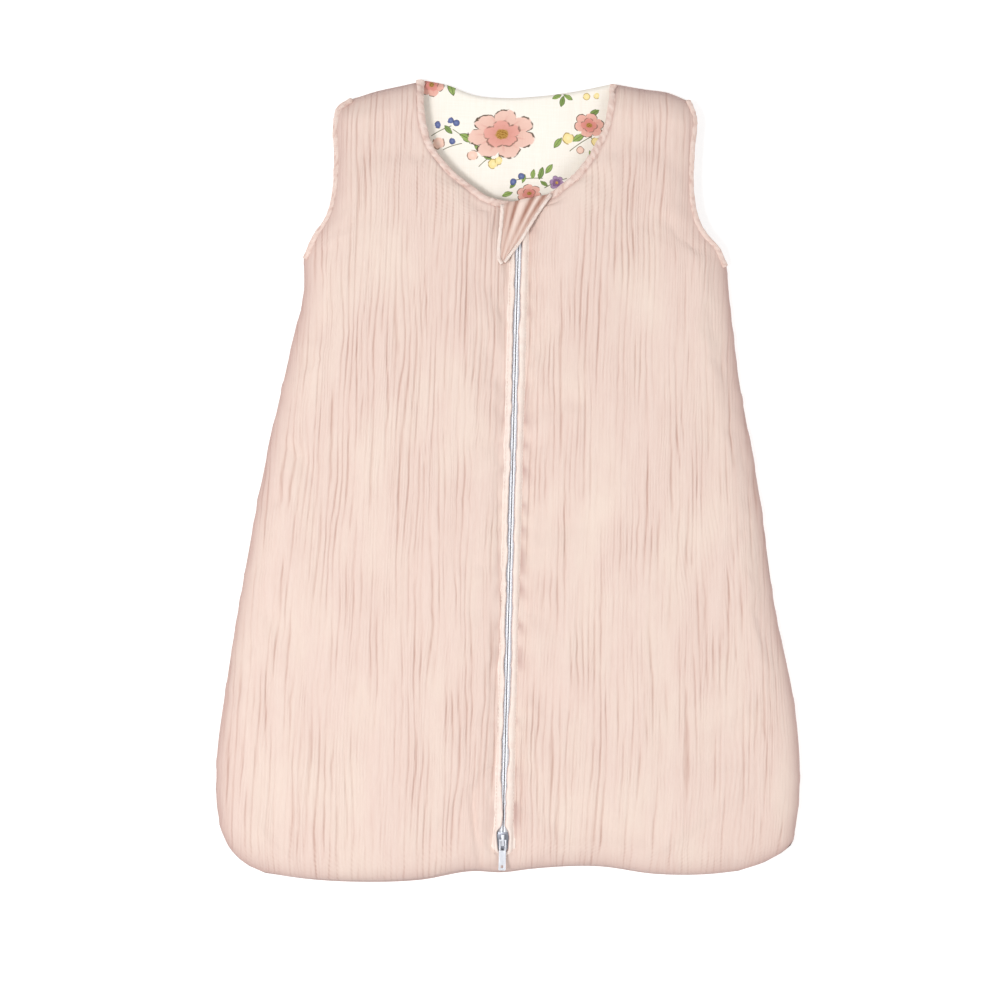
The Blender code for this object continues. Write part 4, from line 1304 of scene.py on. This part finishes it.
def stitches(name, path, pitch, length, radius, material=THREAD):
    """A row of stitches lying along a path."""
    gone = np.linalg.norm(np.diff(path, axis=0), axis=1).sum()
    count = max(2, int(gone / pitch))
    places = evenly(path, count)
    along = unit(np.gradient(places, axis=0))
    side = unit(np.cross(along, (0.0, 0.0, 1.0)))
    turns = np.stack([side, along, np.cross(side, along)], axis=2)
    return closed_ends(beads(name, places, capsule(length, radius, 4, 5), material, turns))


def make_stitches(side):
    sign = SIDES[side]
    y = np.linspace(ZIP_BOTTOM_Y + 0.004, ZIP_TOP_Y - 0.002, 200)
    seam = LIP_PROFILE[side][SEWN_POINT]
    path = stacked(sign * seam[0], y, LIP_Z + seam[1] + 0.0001)
    row = stitches(f"zip_stitches_{side}", path, 0.0032, 0.0022, 0.00022)
    fold_with_lapel(row)
    low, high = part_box(f"zip_tape_{side}")
    tape_x = sign * (min(abs(low.x), abs(high.x)) + 0.0008)
    path = stacked(tape_x, np.linspace(*COIL_Y, 200), CHAIN_Z + 0.0004)
    row = stitches(f"coil_stitches_{side}", path, 0.0025, 0.0019, 0.00018)
    fold_with_lapel(row)


# --- Setting --------------------------------------------------------------------------------------------

def make_floor():
    corners = ((-1, -1), (1, -1), (1, 1), (-1, 1))
    floor = make_mesh("floor", [(FLOOR_HALF_SIZE * x, FLOOR_HALF_SIZE * y, FLOOR_Z) for x, y in corners],
                      np.array([(0, 1, 2, 3)]), bpy.data.materials.new("pale_floor"), smoothed=False)
    floor.data.materials[0].use_nodes = True
    shader = floor.data.materials[0].node_tree.nodes["Principled BSDF"]
    settings = {"Base Color": (0.60, 0.60, 0.60, 1.0), "Roughness": 0.9, "Specular IOR Level": 0.0,
                "Emission Color": (1.0, 1.0, 1.0, 1.0), "Emission Strength": 0.56}
    for socket, value in settings.items():
        shader.inputs[socket].default_value = value
    floor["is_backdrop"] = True


def light(name, place, size, power):
    """A round lamp that faces the middle of the bag."""
    data = bpy.data.lights.new(name, "AREA")
    data.shape = "DISK"
    data.size = size
    data.energy = power
    obj = link(name, data)
    obj.location = place
    obj.rotation_euler = (-Vector(place)).to_track_quat("-Z", "Y").to_euler()


def make_setting():
    make_floor()
    world = bpy.data.worlds.new("studio")
    world.use_nodes = True
    world.node_tree.nodes["Background"].inputs["Color"].default_value = (1.0, 1.0, 1.0, 1.0)
    world.node_tree.nodes["Background"].inputs["Strength"].default_value = 0.62
    bpy.context.scene.world = world
    light("key", (-1.0, -0.2, 2.0), 0.6, 24)
    light("fill", (1.3, -1.0, 1.9), 1.4, 10.5)
    bpy.context.scene.view_settings.view_transform = "Standard"


def make_camera():
    """Straight above, turned a little so that the zip leans as the bag lies."""
    data = bpy.data.cameras.new("camera")
    data.sensor_width = 36.0
    height_above, frame_width = 2.4, 0.867
    data.lens = data.sensor_width * (height_above - CAD_HIGH[2]) / frame_width
    camera = link("camera", data)
    camera.location = (-0.0102, -0.0172, height_above)
    camera.rotation_euler = (0.0, 0.0, math.radians(1.51))
    bpy.context.scene.camera = camera


make_camera()
make_setting()
for side in SIDES:
    make_front_shell(side)
    make_front_lining(side)
    make_front_wadding(side)
    make_neck_roll(side)
    make_armhole_roll(side)
    make_lip(side)
    make_coil(side)
    make_tape(side)
    make_stitches(side)
make_back()
make_slider()
make_guard()
